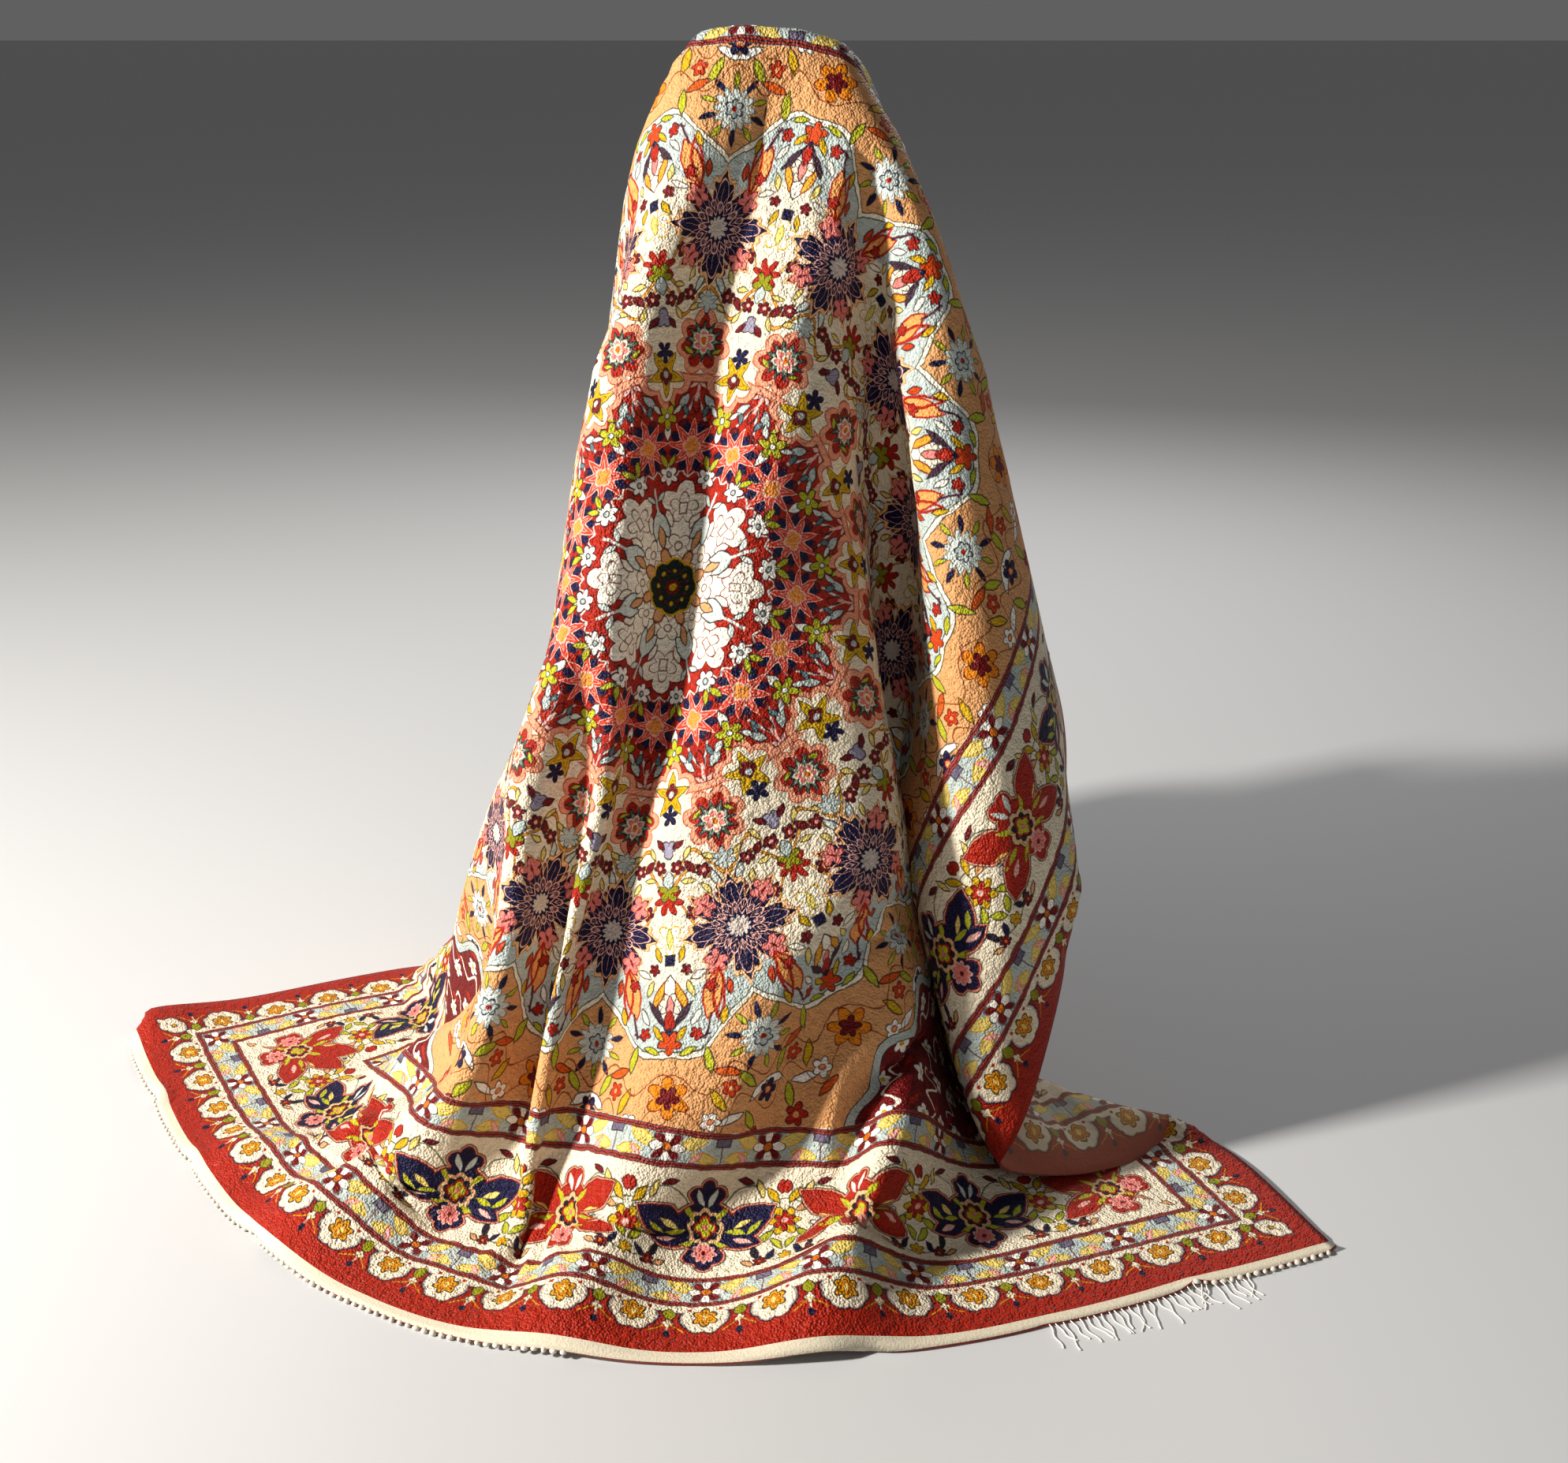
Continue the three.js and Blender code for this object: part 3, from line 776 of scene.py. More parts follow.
# %% The middle: roundel, pale arabesques and their leaves
def draw_middle(silk, whole, axis, between):
    lobe = least(
        axis.at(0, 0.36).disc(0.2),
        axis.at(0, 0.56).oval(0.12, 0.2),
        axis.at(0, 0.74).petals(0.15, 0.1, 5),
    )
    silk.outlined(lobe, CREAM, MAROON, 0.012)
    near = axis.at(0, 0.38)
    silk.lay(line(near.petals(0.06, 0.07, 4, 45), 0.007), MAROON)
    silk.lay(line(near.disc(0.035), 0.006), MAROON)
    tip = axis.at(0, 0.73)
    silk.lay(line(tip.petals(0.07, 0.08, 5), 0.007), MAROON)
    silk.lay(line(tip.bar(0.035, 0.05), 0.006), MAROON)
    silk.outlined(axis.at(0.13, 0.62, -30).leaf(0.08, 0.035), CREAM, MAROON, 0.008)
    silk.outlined(between.at(0, 0.29).oval(0.045, 0.07), PEACH, MAROON, 0.008)
    silk.leaves(
        (between, 0.03, 0.6, 20, 0.14, 0.06, PALE_MIST, 0.01),
        (between, 0, 0.48, 0, 0.1, 0.035, PEACH, 0.008),
    )
    silk.lay(between.at(0, 0.8).bar(0.012, 0.14), PALE_MIST)
    silk.outlined(between.at(0.07, 0.84, -50).leaf(0.06, 0.022), PALE_MIST, INK, 0.006)
    silk.outlined(whole.petals(0.22, 0.03, 8), dye("#14201c"), GOLD, 0.018)
    silk.lay(axis.at(0, 0.15).disc(0.02), GOLD)
    silk.lay(between.at(0, 0.15).disc(0.016), MAROON)
    silk.outlined(whole.disc(0.035), GOLD, MAROON, 0.03)


# %% The red ring: white rosettes, pink stars, sprigs and tulips
def draw_red_ring(silk, axis, between):
    silk.lay(line(between.y - 1.04 - (between.x * 46.0).math("COSINE") * 0.03, 0.011), PALE_MIST)
    star = axis.at(0, 1.3)
    silk.outlined(star.petals(0.1, 0.14, 8, 22.5), NAVY, MAROON, 0.006)
    silk.outlined(star.spikes(0.105, 0.14, 8), dye("#d9584a"), PALE_PINK, 0.014)
    silk.lay(line(star.spikes(0.06, 0.1, 8), 0.008), PALE_PINK)
    silk.outlined(star.petals(0.055, 0.025, 4), dye("#ee9c5c"), PALE_PINK, 0.012)
    silk.outlined(between.at(0, 1.03).petals(0.05, 0.05, 6), WHITE, INK, 0.012)
    silk.outlined(between.at(0, 1.03).disc(0.018), MIST, INK, 0.008)
    silk.leaves(
        (between, 0.05, 1.16, -30, 0.07, 0.026, LIME, 0.007),
        (between, 0, 1.43, 0, 0.09, 0.038, WHITE, 0.008),
    )
    sprig = between.at(0, 1.56)
    silk.outlined(sprig.petals(0.035, 0.085, 5, 36), LIME, INK, 0.009)
    silk.outlined(sprig.disc(0.02), WHITE, INK, 0.006)
    silk.lay(axis.at(0.055, 1.66, 24).bar(0.009, 0.13), PALE_MIST)
    silk.leaves(
        (axis, 0.13, 1.7, 35, 0.085, 0.034, MIST, 0.008),
        (axis, 0.1, 1.62, -20, 0.05, 0.022, SLATE, 0.006),
        (axis, 0.0, 1.68, 0, 0.075, 0.03, RED, 0.009),
    )
    silk.lay(axis.at(0, 1.94).bar(0.014, 0.23), PALE_PINK)
    silk.leaves(
        (axis, 0.045, 1.86, 45, 0.05, 0.018, PALE_PINK, 0.004),
        (between, 0.13, 1.62, -50, 0.06, 0.022, PALE_MIST, 0.005),
        (between, 0.07, 1.7, 30, 0.055, 0.02, LIME, 0.005),
        (axis, 0.11, 1.5, 60, 0.05, 0.02, MAROON, 0.004),
    )


# %% The scalloped edge of the red ring, its gold stars and palmettes
def draw_scallops(silk, axis, between):
    gold = between.at(0, 1.9)
    silk.outlined(gold.at(0, 0.05).spikes(0.085, 0.13, 5, 36), GOLD, INK, 0.009)
    silk.lay(line(gold.at(0, 0.05).spikes(0.045, 0.1, 5, 36), 0.006), dye("#7a5a18"))
    silk.outlined(gold.at(0, 0.02).petals(0.045, 0.025, 4), MAROON, INK, 0.006)
    silk.lay(gold.at(0, 0.04).disc(0.03), MIST)
    silk.outlined(between.at(0, 2.14).petals(0.03, 0.06, 5, 36), NAVY, INK, 0.006)
    palm = axis.at(0, 2.25)
    silk.outlined(palm.spikes(0.105, 0.075, 12), MOSS, NAVY, 0.014)
    silk.lay(line(palm.spikes(0.075, 0.05, 12), 0.006), MIST)
    silk.outlined(palm.petals(0.055, 0.04, 6), PINK, IVORY, 0.01)
    silk.outlined(palm.at(0, 0.01).oval(0.025, 0.035), ORANGE, IVORY, 0.008)
    silk.outlined(axis.at(0.14, 2.16, -60).leaf(0.05, 0.016), LIME, INK, 0.004)


def red_edge(axis, between):
    """Less than nothing inside the red ring."""
    inner = axis.far - 1.92
    palm_lobe = least(axis.at(0, 2.22).petals(0.18, 0.075, 7), axis.at(0, 2.4).leaf(0.14, 0.08))
    gold_lobe = least(between.at(0, 1.92).petals(0.17, 0.09, 5, 36), between.at(0, 2.04).disc(0.15))
    return most(least(inner, palm_lobe), -gold_lobe)


# %% The ivory ring: vines, small flowers and the navy stars
def draw_ivory_ring(silk, axis, between, whole):
    swing = (whole.turn * 32.0).math("COSINE")
    swing_two = (whole.turn * 32.0 + 1.3).math("SINE")
    for level, wave, reach in ((2.6, swing, 0.13), (2.72, swing_two, 0.1), (3.0, swing, -0.18)):
        vine = line(whole.far - wave.math("MULTIPLY_ADD", reach, level), 0.011)
        silk.outlined(vine, HONEY, UMBER, 0.006)
    for x, y, turn in ((0.12, 2.55, 60), (0.3, 2.47, -40), (0.2, 2.83, 20), (0.34, 2.72, 80)):
        silk.outlined(axis.at(x, y, turn).leaf(0.06, 0.02), STRAW, INK, 0.006)
    for x, y in ((0.19, 2.66), (0.42, 2.58), (0.08, 2.9), (0.36, 3.02)):
        small = axis.at(x, y)
        silk.outlined(small.petals(0.035, 0.028, 5), MAROON, INK, 0.008)
        silk.outlined(small.disc(0.017), PALE_PINK, MAROON, 0.004)
    silk.outlined(axis.at(0.3, 2.6, 30).leaf(0.07, 0.03), MAROON, INK, 0.006)
    silk.outlined(axis.at(0.0, 2.6).petals(0.04, 0.06, 6), MIST, INK, 0.007)
    silk.outlined(axis.at(0.1, 2.77, 20).leaf(0.09, 0.026), PALE_MIST, INK, 0.007)
    silk.outlined(between.at(0.0, 2.44).petals(0.045, 0.04, 3), dye("#9a93a6"), INK, 0.008)
    silk.outlined(between.at(0.1, 2.4, 50).leaf(0.06, 0.024), MAROON, INK, 0.006)
    lotus = between.at(0, 2.86)
    silk.outlined(lotus.at(0, 0.05).petals(0.05, 0.09, 7, 180 / 7), RED, MAROON, 0.01)
    silk.outlined(lotus.at(0, -0.03).petals(0.035, 0.07, 5, 36), OLIVE, INK, 0.007)
    silk.outlined(lotus.at(0, -0.13).leaf(0.08, 0.05), MIST, INK, 0.007)
    low = between.at(0, 3.28)
    silk.outlined(low.petals(0.05, 0.09, 5, 0), CREAM, GOLD, 0.012)
    silk.outlined(low.leaf(0.09, 0.03), STRAW, OLIVE, 0.006)
    silk.outlined(between.at(0, 3.47).bar(0.045, 0.045), NAVY, INK, 0.004)
    silk.outlined(between.at(0.12, 3.42, 20).leaf(0.07, 0.026), GOLD, INK, 0.006)
    silk.outlined(between.at(0.16, 3.56).petals(0.03, 0.022, 5), MAROON, INK, 0.006)


def draw_navy_stars(silk, axis):
    star = axis.at(0, 3.25)
    edge = star.petals(0.27, 0.17, 8) - (star.turn * 24.0).math("COSINE") * 0.03
    edge = least(edge, star.spikes(0.2, 0.3, 8))
    silk.rims(edge, (dye("#8f3322"), 0.058), (dye("#f0bd8b"), 0.05), (dye("#0c0a1e"), 0.012), (NAVY, -0.012))
    lace = ((0.3, 0.13, 0), (0.27, 0.12, 22.5), (0.17, 0.05, 0), (0.19, -0.06, 0))
    for radius, depth, start in lace:
        silk.lay(line(star.flower(radius, depth, 8, start), 0.0075), PALE_PINK)
    sideways = (star.turn * 8.0).math("SINE")
    silk.lay(most(line(sideways * star.far, 0.01), star.far - 0.36, 0.15 - star.far), PALE_PINK)
    for x, y in ((0.26, 0.26), (0.26, -0.26)):
        lily = star.at(x, y, -45 if y > 0 else -135)
        silk.outlined(lily.petals(0.045, 0.06, 5), PINK, MAROON, 0.007)
        silk.lay(lily.leaf(0.05, 0.012), MAROON)
    silk.outlined(star.petals(0.07, 0.035, 12), dye("#cdbfb4"), NAVY, 0.008)


# %% The pale ring with its curled leaves, and the peach ground
def draw_pale_ring(silk, between):
    palm = between.at(0, 3.9)
    silk.outlined(palm.at(0, -0.02).leaf(0.26, 0.11), CREAM, INK, 0.012)
    silk.outlined(palm.at(0, -0.02).petals(0.06, 0.05, 7), IVORY, INK, 0.01)
    silk.leaves(
        (palm, 0, 0.0, 0, 0.1, 0.035, PINK, 0.008),
        (palm, 0, 0.13, 0, 0.1, 0.05, RED, 0.006),
    )
    silk.outlined(palm.at(0.11, -0.1, -25).leaf(0.13, 0.032), HONEY, MAROON, 0.008)
    silk.leaves(
        (palm, 0.13, 0.06, 35, 0.13, 0.028, dye("#3a2230"), 0.004),
        (palm, 0, 0.27, 0, 0.08, 0.03, NAVY, 0.004),
    )
    curl = between.at(0.4, 3.78, 12)
    silk.outlined(curl.leaf(0.22, 0.075), dye("#e9a46a"), RED, 0.014)
    silk.lay(line(curl.at(0.055, 0.0).leaf(0.22, 0.05), 0.014), RED)
    silk.outlined(curl.at(-0.02, -0.08).petals(0.03, 0.025, 5), RED, INK, 0.006)
    silk.lay(between.at(0.36, 4.07, 14).bar(0.012, 0.12), PLUM)
    silk.lay(between.at(0.31, 4.17, 60).bar(0.01, 0.07), PLUM)
    for x, y, turn, colour in (
        (0.2, 3.73, -20, STRAW), (0.25, 3.99, 30, CREAM), (0.17, 4.3, 70, LIME), (0.5, 3.98, 10, GOLD),
        (0.27, 3.6, 60, CREAM), (0.55, 3.72, -10, BRICK),
    ):
        silk.outlined(between.at(x, y, turn).leaf(0.075, 0.024), colour, INK, 0.006)
    silk.outlined(between.at(0.25, 4.14).petals(0.03, 0.028, 5), RED, INK, 0.006)
    silk.outlined(between.at(0, 4.22).petals(0.05, 0.06, 5), BRICK, INK, 0.008)
    silk.outlined(between.at(0.11, 4.14, 35).leaf(0.08, 0.025), GOLD, INK, 0.006)


def peach_edge(whole):
    """Less than nothing inside the peach ground, whose lobes point at the navy stars."""
    swell = abs((whole.turn * 8.0).math("SINE"))
    wave = (whole.turn * 48.0).math("COSINE")
    return swell.math("MULTIPLY_ADD", 0.56, 3.84) + wave * 0.035 - whole.far


def draw_peach_ground(silk, axis, between):
    rosette = axis.at(0, 4.28)
    silk.outlined(rosette.petals(0.115, 0.075, 12), PALE_MIST, SLATE, 0.01)
    silk.outlined(rosette.petals(0.05, 0.03, 6), MIST, NAVY, 0.01)
    silk.lay(rosette.disc(0.026), RED)
    for turn in (0, 36, 72, 108, 144, 180):
        angle = math.radians(turn)
        leaf = rosette.at(0.25 * math.sin(angle), 0.25 * math.cos(angle), -turn)
        silk.outlined(leaf.leaf(0.07, 0.02), NAVY if turn % 72 else LIME, INK, 0.004)
    for x, y, turn, colour in (
        (0.2, 4.62, 30, LIME), (0.36, 4.5, 70, RUST), (0.1, 4.78, -60, WHITE), (0.5, 4.74, 20, GOLD),
        (0.42, 4.95, 100, WHITE), (0.24, 5.05, 10, LIME), (0.62, 5.1, 60, RUST), (0.5, 4.36, 0, LIME),
    ):
        silk.outlined(axis.at(x, y, turn).leaf(0.12, 0.036), colour, INK, 0.007)
    for x, y, size, colour in (
        (0.36, 4.66, 1.0, dye("#c9401d")), (0.0, 4.86, 1.5, NAVY),
        (0.6, 4.92, 1.2, WHITE), (0.25, 5.25, 1.4, RED),
    ):
        bloom = axis.at(x, y)
        silk.outlined(bloom.petals(0.04 * size, 0.035 * size, 5), colour, INK, 0.007)
        silk.outlined(bloom.disc(0.02 * size), PEACH, RED, 0.006)
    for level, reach in ((4.55, 0.12), (4.9, 0.16)):
        stem = line(axis.y - (axis.x * 11.0).math("COSINE").math("MULTIPLY_ADD", reach, level), 0.009)
        silk.lay(stem, UMBER)
    silk.outlined(between.at(0, 4.72).petals(0.1, 0.09, 6), dye("#e3862f"), MAROON, 0.008)
    silk.outlined(between.at(0, 4.72).petals(0.05, 0.05, 5), MAROON, INK, 0.006)


# %% The dark corners of the field
def draw_corners(silk, whole):
    board = whole.board
    corner = Spot(board, board.combine(FIELD / CELL - abs(whole.x), FIELD / CELL - abs(whole.y)))
    edge = corner.far - (corner.turn * 16.0).math("COSINE").math("MULTIPLY_ADD", 0.12, 1.85)
    inside = silk.rims(edge, (INK, 0.14), (MIST, 0.125), (INK, 0.015), (MAROON, 0.0))
    for radius, parts, reach in ((1.62, 32, 0.08), (1.1, 24, 0.1), (0.55, 16, 0.09)):
        wave = (corner.turn * parts).math("SINE").math("MULTIPLY_ADD", reach, radius)
        silk.lay(line(corner.far - wave, 0.02), CREAM, within=inside)
    cell = Spot(board, board.vector("WRAP", corner.vector, (0.21, 0.21, 1.0), (-0.21, -0.21, -1.0)))
    silk.lay(cell.petals(0.05, 0.045, 5), INK, grow=0.01, within=inside)
    silk.lay(cell.petals(0.05, 0.045, 5), WHITE, within=inside)
    silk.lay(cell.disc(0.028), GOLD, within=inside)
    silk.lay(cell.at(0.12, 0.12, 45).leaf(0.09, 0.03), RED, within=inside)


# %% Edges between the rings
def draw_ring_edges(silk, axis, between, whole):
    red = -red_edge(axis, between)
    silk.rims(red, (dye("#7d2a1c"), 0.042), (ROSE_PEACH, 0.03), (dye("#b0492c"), -0.026), (IVORY, -0.038))
    pale = 3.66 - whole.far - (whole.turn * 16.0).math("COSINE") * 0.1
    silk.lay(pale, MIST)
    peach = peach_edge(whole)
    silk.rims(peach, (DARK_OLIVE, 0.075), (CREAM, 0.06), (DARK_OLIVE, 0.014), (PEACH, 0.0))


# %% The field, ring by ring
PAST_ALL = 9.0  # further out than any square of the rug, in repeats

# Each ring's finish holds only the parts that reach into it, so that a render has less to work out.
RINGS = table("name outer parts", [
    ("silk_heart", 0.9, ("middle",)),
    ("silk_red_ring", 1.66, ("red ring", "middle")),
    ("silk_scallops", 2.3, ("red ring", "ring edges", "scallops")),
    ("silk_ivory_ring", 3.45, ("ring edges", "scallops", "ivory ring", "navy stars")),
    ("silk_pale_ring", 4.4, ("ring edges", "ivory ring", "navy stars", "pale ring", "peach ground")),
    ("silk_peach_ground", PAST_ALL, ("ring edges", "peach ground", "corners")),
])


def draw_field(board, plan, parts):
    whole = Spot(board, board.vector("MULTIPLY", plan, (1.0, 1.0, 0.0)))
    axis, between = folded_ring(whole, 16)
    lobe_axis, lobe_between = folded_ring(whole, 8)
    steps = (
        ("red ring", draw_red_ring, (axis, between)),
        ("middle", draw_middle, (whole, lobe_axis, lobe_between)),
        ("ring edges", draw_ring_edges, (axis, between, whole)),
        ("scallops", draw_scallops, (axis, between)),
        ("ivory ring", draw_ivory_ring, (axis, between, whole)),
        ("navy stars", draw_navy_stars, (axis,)),
        ("pale ring", draw_pale_ring, (between,)),
        ("peach ground", draw_peach_ground, (axis, between)),
        ("corners", draw_corners, (whole,)),
    )
    colour = RED
    for name, draw, places in steps:
        if name in parts:
            colour = in_group(board, name, draw, colour, *places)
    return colour


# %% [markdown]
# ## The borders
# The real borders run round the rug with mitred corners. They could be drawn as four strips, but one
# coordinate along the nearest edge and one across it serve all four sides, and a remainder of the first
# repeats each motif.


# %% Coordinates along and across a border
def border_axes(whole):
    over, up = abs(whole.x), abs(whole.y)
    on_side = over.math("GREATER_THAN", up)
    return whole.board.mix_numbers(on_side, whole.x, whole.y), most(over, up), on_side


def repeat_along(along, across, pitch, level, shift=0.0):
    """A spot at the nearest repeat: x along the border and y outward. Also which repeat it is."""
    moved = along + shift
    count = (moved * (1 / pitch)).math("ROUND")
    vector = along.board.combine(count.math("MULTIPLY_ADD", -pitch, moved), across - level)
    return Spot(along.board, vector), count


# %% The narrow borders
def draw_narrow(silk, spot):
    """Rosettes on a pale ground with straw clouds, and grey squares midway. x is signed."""
    part = mirrored(spot)
    silk.outlined(part.at(0.22, -0.06, 65).leaf(0.14, 0.05), STRAW, GOLD, 0.006)
    silk.outlined(part.at(0.34, 0.07, 100).leaf(0.12, 0.045), STRAW, GOLD, 0.006)
    silk.outlined(part.at(0.27, 0.08, 40).leaf(0.07, 0.018), PALE_PINK, PINK, 0.006)
    silk.lay(part.at(0.5, 0.05).bar(0.006, 0.1), MAROON)
    silk.outlined(part.at(0.47, -0.09).bar(0.032, 0.035), VIOLET_GREY, INK, 0.006)
    silk.lay(spot.petals(0.1, 0.055, 8), INK, grow=0.012)
    petal = spot.petals(0.1, 0.055, 8)
    silk.lay(petal, WHITE)
    silk.lay(most(petal, (spot.turn * 4.0).math("COSINE") * 0.06), MAROON)
    silk.outlined(spot.disc(0.035), ORANGE, INK, 0.008)


# %% Cartouches of the main border
def navy_cartouche(spot):
    half = mirrored(spot)
    return least(
        half.at(0.0, -0.27).petals(0.12, 0.05, 5, 36),
        half.oval(0.29, 0.23),
        half.at(0.37, -0.03, 60).leaf(0.3, 0.15),
        half.at(0.3, 0.13, 105).leaf(0.22, 0.09),
        half.at(0.0, 0.26).petals(0.13, 0.05, 5),
    )


def red_cartouche(spot):
    half = mirrored(spot)
    return least(
        half.oval(0.24, 0.27),
        half.at(0.34, -0.17, 58).leaf(0.28, 0.13),
        half.at(0.34, 0.16, 118).leaf(0.28, 0.13),
        half.at(0.0, 0.3).petals(0.08, 0.05, 3, 60),
        half.at(0.0, -0.28).petals(0.08, 0.05, 3),
    )


def draw_cartouches(silk, spot, count):
    odd = abs(count.math("MODULO", 2.0))
    even = 1.0 - odd
    half = mirrored(spot)
    navy, red = navy_cartouche(spot), red_cartouche(spot)
    edge = least(navy + even * PAST_ALL, red + odd * PAST_ALL)
    silk.rims(edge, (INK, 0.034), (ROSE_PEACH, 0.022), (dye("#7a2420"), 0.01))
    inside = silk.lay(edge, silk.board.mix(odd, RED, NAVY), grow=-0.004)
    wreath = spot.petals(0.13, 0.03, 8)
    silk.lay(wreath, INK, grow=0.03, within=inside)
    silk.lay(wreath, dye("#e6b98c"), grow=0.018)
    silk.lay(wreath, INK, grow=-0.02)
    silk.outlined(spot.petals(0.05, 0.035, 4), LIME, RED, 0.016)
    silk.lay(spot.disc(0.028), PINK)
    low = half.at(0.0, 0.25)
    silk.outlined(low.petals(0.065, 0.03, 9), PINK, PALE_PINK, 0.01)
    silk.lay(low.disc(0.022), MAROON)
    for x, y, turn, colour in (
        (0.34, -0.03, 62, STRAW), (0.28, 0.05, 100, LIME), (0.45, 0.02, 50, LIME),
        (0.06, -0.27, 25, PALE_MIST), (0.16, -0.14, 40, LIME), (0.16, 0.17, 120, LIME),
        (0.35, 0.15, 110, PALE_PINK),
    ):
        silk.lay(half.at(x, y, turn).leaf(0.09, 0.026), colour, within=inside)


# %% Flowers between the cartouches
def draw_between_cartouches(silk, middle):
    """middle stands halfway between two cartouches; its x is signed."""
    half = mirrored(middle)
    for radius, x, y in ((0.34, 0.0, 0.1), (0.26, 0.3, -0.12)):
        silk.lay(half.at(x, y).arc(radius, 0.007), MOSS)
    palm = half.at(0.0, -0.02)
    silk.outlined(palm.petals(0.07, 0.08, 6, 30), GOLD, INK, 0.008)
    silk.outlined(palm.petals(0.045, 0.055, 6), RED, INK, 0.007)
    silk.lay(palm.disc(0.03), PALE_PINK)
    for x, y, turn, length, width, colour in (
        (0.1, -0.28, 35, 0.09, 0.032, GOLD), (0.02, -0.36, 0, 0.06, 0.04, RED),
        (0.2, -0.17, 70, 0.1, 0.035, PEACH), (0.22, -0.35, 20, 0.08, 0.025, STRAW),
        (0.17, 0.14, -45, 0.09, 0.032, LIME), (0.07, 0.24, 40, 0.08, 0.03, LIME),
        (0.27, 0.3, 15, 0.075, 0.024, INK), (0.13, 0.36, -30, 0.06, 0.022, NAVY),
        (0.34, 0.22, 80, 0.07, 0.022, GOLD), (0.33, 0.42, 60, 0.06, 0.02, PEACH),
        (0.36, -0.42, 75, 0.07, 0.022, MAROON),
    ):
        silk.outlined(half.at(x, y, turn).leaf(length, width), colour, INK, 0.007)
    for x, y, colour in ((0.0, 0.4, GOLD), (0.22, 0.42, MAROON), (0.3, 0.06, WHITE)):
        daisy = half.at(x, y)
        silk.outlined(daisy.petals(0.03, 0.03, 6), colour, INK, 0.007)
        silk.lay(daisy.disc(0.014), ORANGE)


# %% The outer guard of lobes, and the plain red band
GUARD_PITCH = 14.51 / 24
GUARD_FROM = 6.68
GUARD_MIDDLE = 6.82


def draw_guard(silk, along, across):
    pitch = GUARD_PITCH
    spot, _ = repeat_along(along, across, pitch, GUARD_MIDDLE, shift=pitch / 2)
    half = mirrored(spot)
    lobe = least(across - 6.76, half.at(0, 0.02).oval(0.2, 0.15), half.at(0, 0.09).petals(0.09, 0.05, 3, 60))
    silk.lay(across * -1.0 + GUARD_FROM, BAND_RED)
    for colour, grow in ((INK, 0.02), (dye("#b9a9a0"), 0.006), (IVORY, -0.006)):
        silk.lay(most(lobe, GUARD_FROM - across), colour, grow=grow)
    lotus = half.at(0, 0.01)
    silk.outlined(lotus.petals(0.065, 0.04, 6), dye("#dc9b3c"), INK, 0.01)
    silk.lay(line(lotus.petals(0.04, 0.03, 6), 0.005), MAROON)
    silk.outlined(lotus.leaf(0.045, 0.022), STRAW, ORANGE, 0.006)
    silk.lay(half.at(0.13, -0.09).disc(0.018), RED)
    gap = half.at(pitch / 2, 0.0)
    silk.outlined(gap.at(0, -0.02).leaf(0.07, 0.05), OLIVE, INK, 0.006)
    silk.outlined(gap.at(0, 0.09).petals(0.022, 0.02, 4), IVORY, INK, 0.004)
    silk.lay(gap.at(0, 0.15).bar(0.005, 0.1), IVORY)
    silk.lay(gap.at(-0.07, 0.14, 55).bar(0.004, 0.09), GOLD)
    silk.outlined(gap.at(0, 0.22).leaf(0.035, 0.02), NAVY, INK, 0.004)


# %% All borders
STRIPES = (4.9, 5.205, 6.345, 6.66)
NARROW_HALF = 0.18
INNER_NARROW = 5.05
OUTER_NARROW = 6.5
CARTOUCHE_PITCH = 1.45
CARTOUCHE_MIDDLE = 5.78


def draw_stripes(silk, across):
    for level in STRIPES:
        for half_width, colour in ((0.03, INK), (0.02, dye("#a5463c")), (0.006, INK)):
            silk.lay(line(across - level, half_width), colour)


BANDS = table("name outer parts", [
    ("silk_inner_border", 5.28, ("inner narrow", "stripes")),
    ("silk_main_border", 6.27, ("between cartouches", "cartouches")),
    ("silk_outer_border", PAST_ALL, ("outer narrow", "guard", "stripes")),
])


def narrow_band(board, colour, along, across, level, shift):
    spot, _ = repeat_along(along, across, 1.0, level, shift=shift)
    band = in_group(board, "narrow border", draw_narrow, MIST, spot)
    inside = (abs(across - level) - NARROW_HALF).math("LESS_THAN", 0.0)
    return board.mix(inside, colour, band)


def draw_borders(board, plan, parts):
    whole = Spot(board, board.vector("MULTIPLY", plan, (1.0, 1.0, 0.0)))
    along, across, on_side = border_axes(whole)
    colour = IVORY
    if "cartouches" in parts:
        cartouche, count = repeat_along(along, across, CARTOUCHE_PITCH, CARTOUCHE_MIDDLE)
        middle, _ = repeat_along(along, across, CARTOUCHE_PITCH, CARTOUCHE_MIDDLE, shift=CARTOUCHE_PITCH / 2)
        colour = in_group(board, "between cartouches", draw_between_cartouches, colour, middle)
        colour = in_group(board, "cartouches", draw_cartouches, colour, cartouche, count)
    if "inner narrow" in parts:
        colour = narrow_band(board, colour, along, across, INNER_NARROW, on_side * 0.5)
    if "outer narrow" in parts:
        colour = narrow_band(board, colour, along, across, OUTER_NARROW, 0.5)
    if "guard" in parts:
        colour = in_group(board, "guard", draw_guard, colour, along, across)
    if "stripes" in parts:
        colour = in_group(board, "stripes", draw_stripes, colour, across)
    return colour


# %% [markdown]
# ## The finish of silk
# Silk pile is soft but bright. Its colours drift a little from one dye lot to the next, and the cut
# knots make fine pebbles. Every knot as a shape would be millions of them, so a bump carries them, and
# the back shows the same knots flatter, paler and dull.

# %% Turn a drawing into a finish
KNOT_PITCH = 0.022  # across one pebble of the pile, in repeats
WOBBLE = 0.045  # the knots stray from a line by up to half of this to each side, in repeats
BACK_COLOUR = dye("#b9a58c")


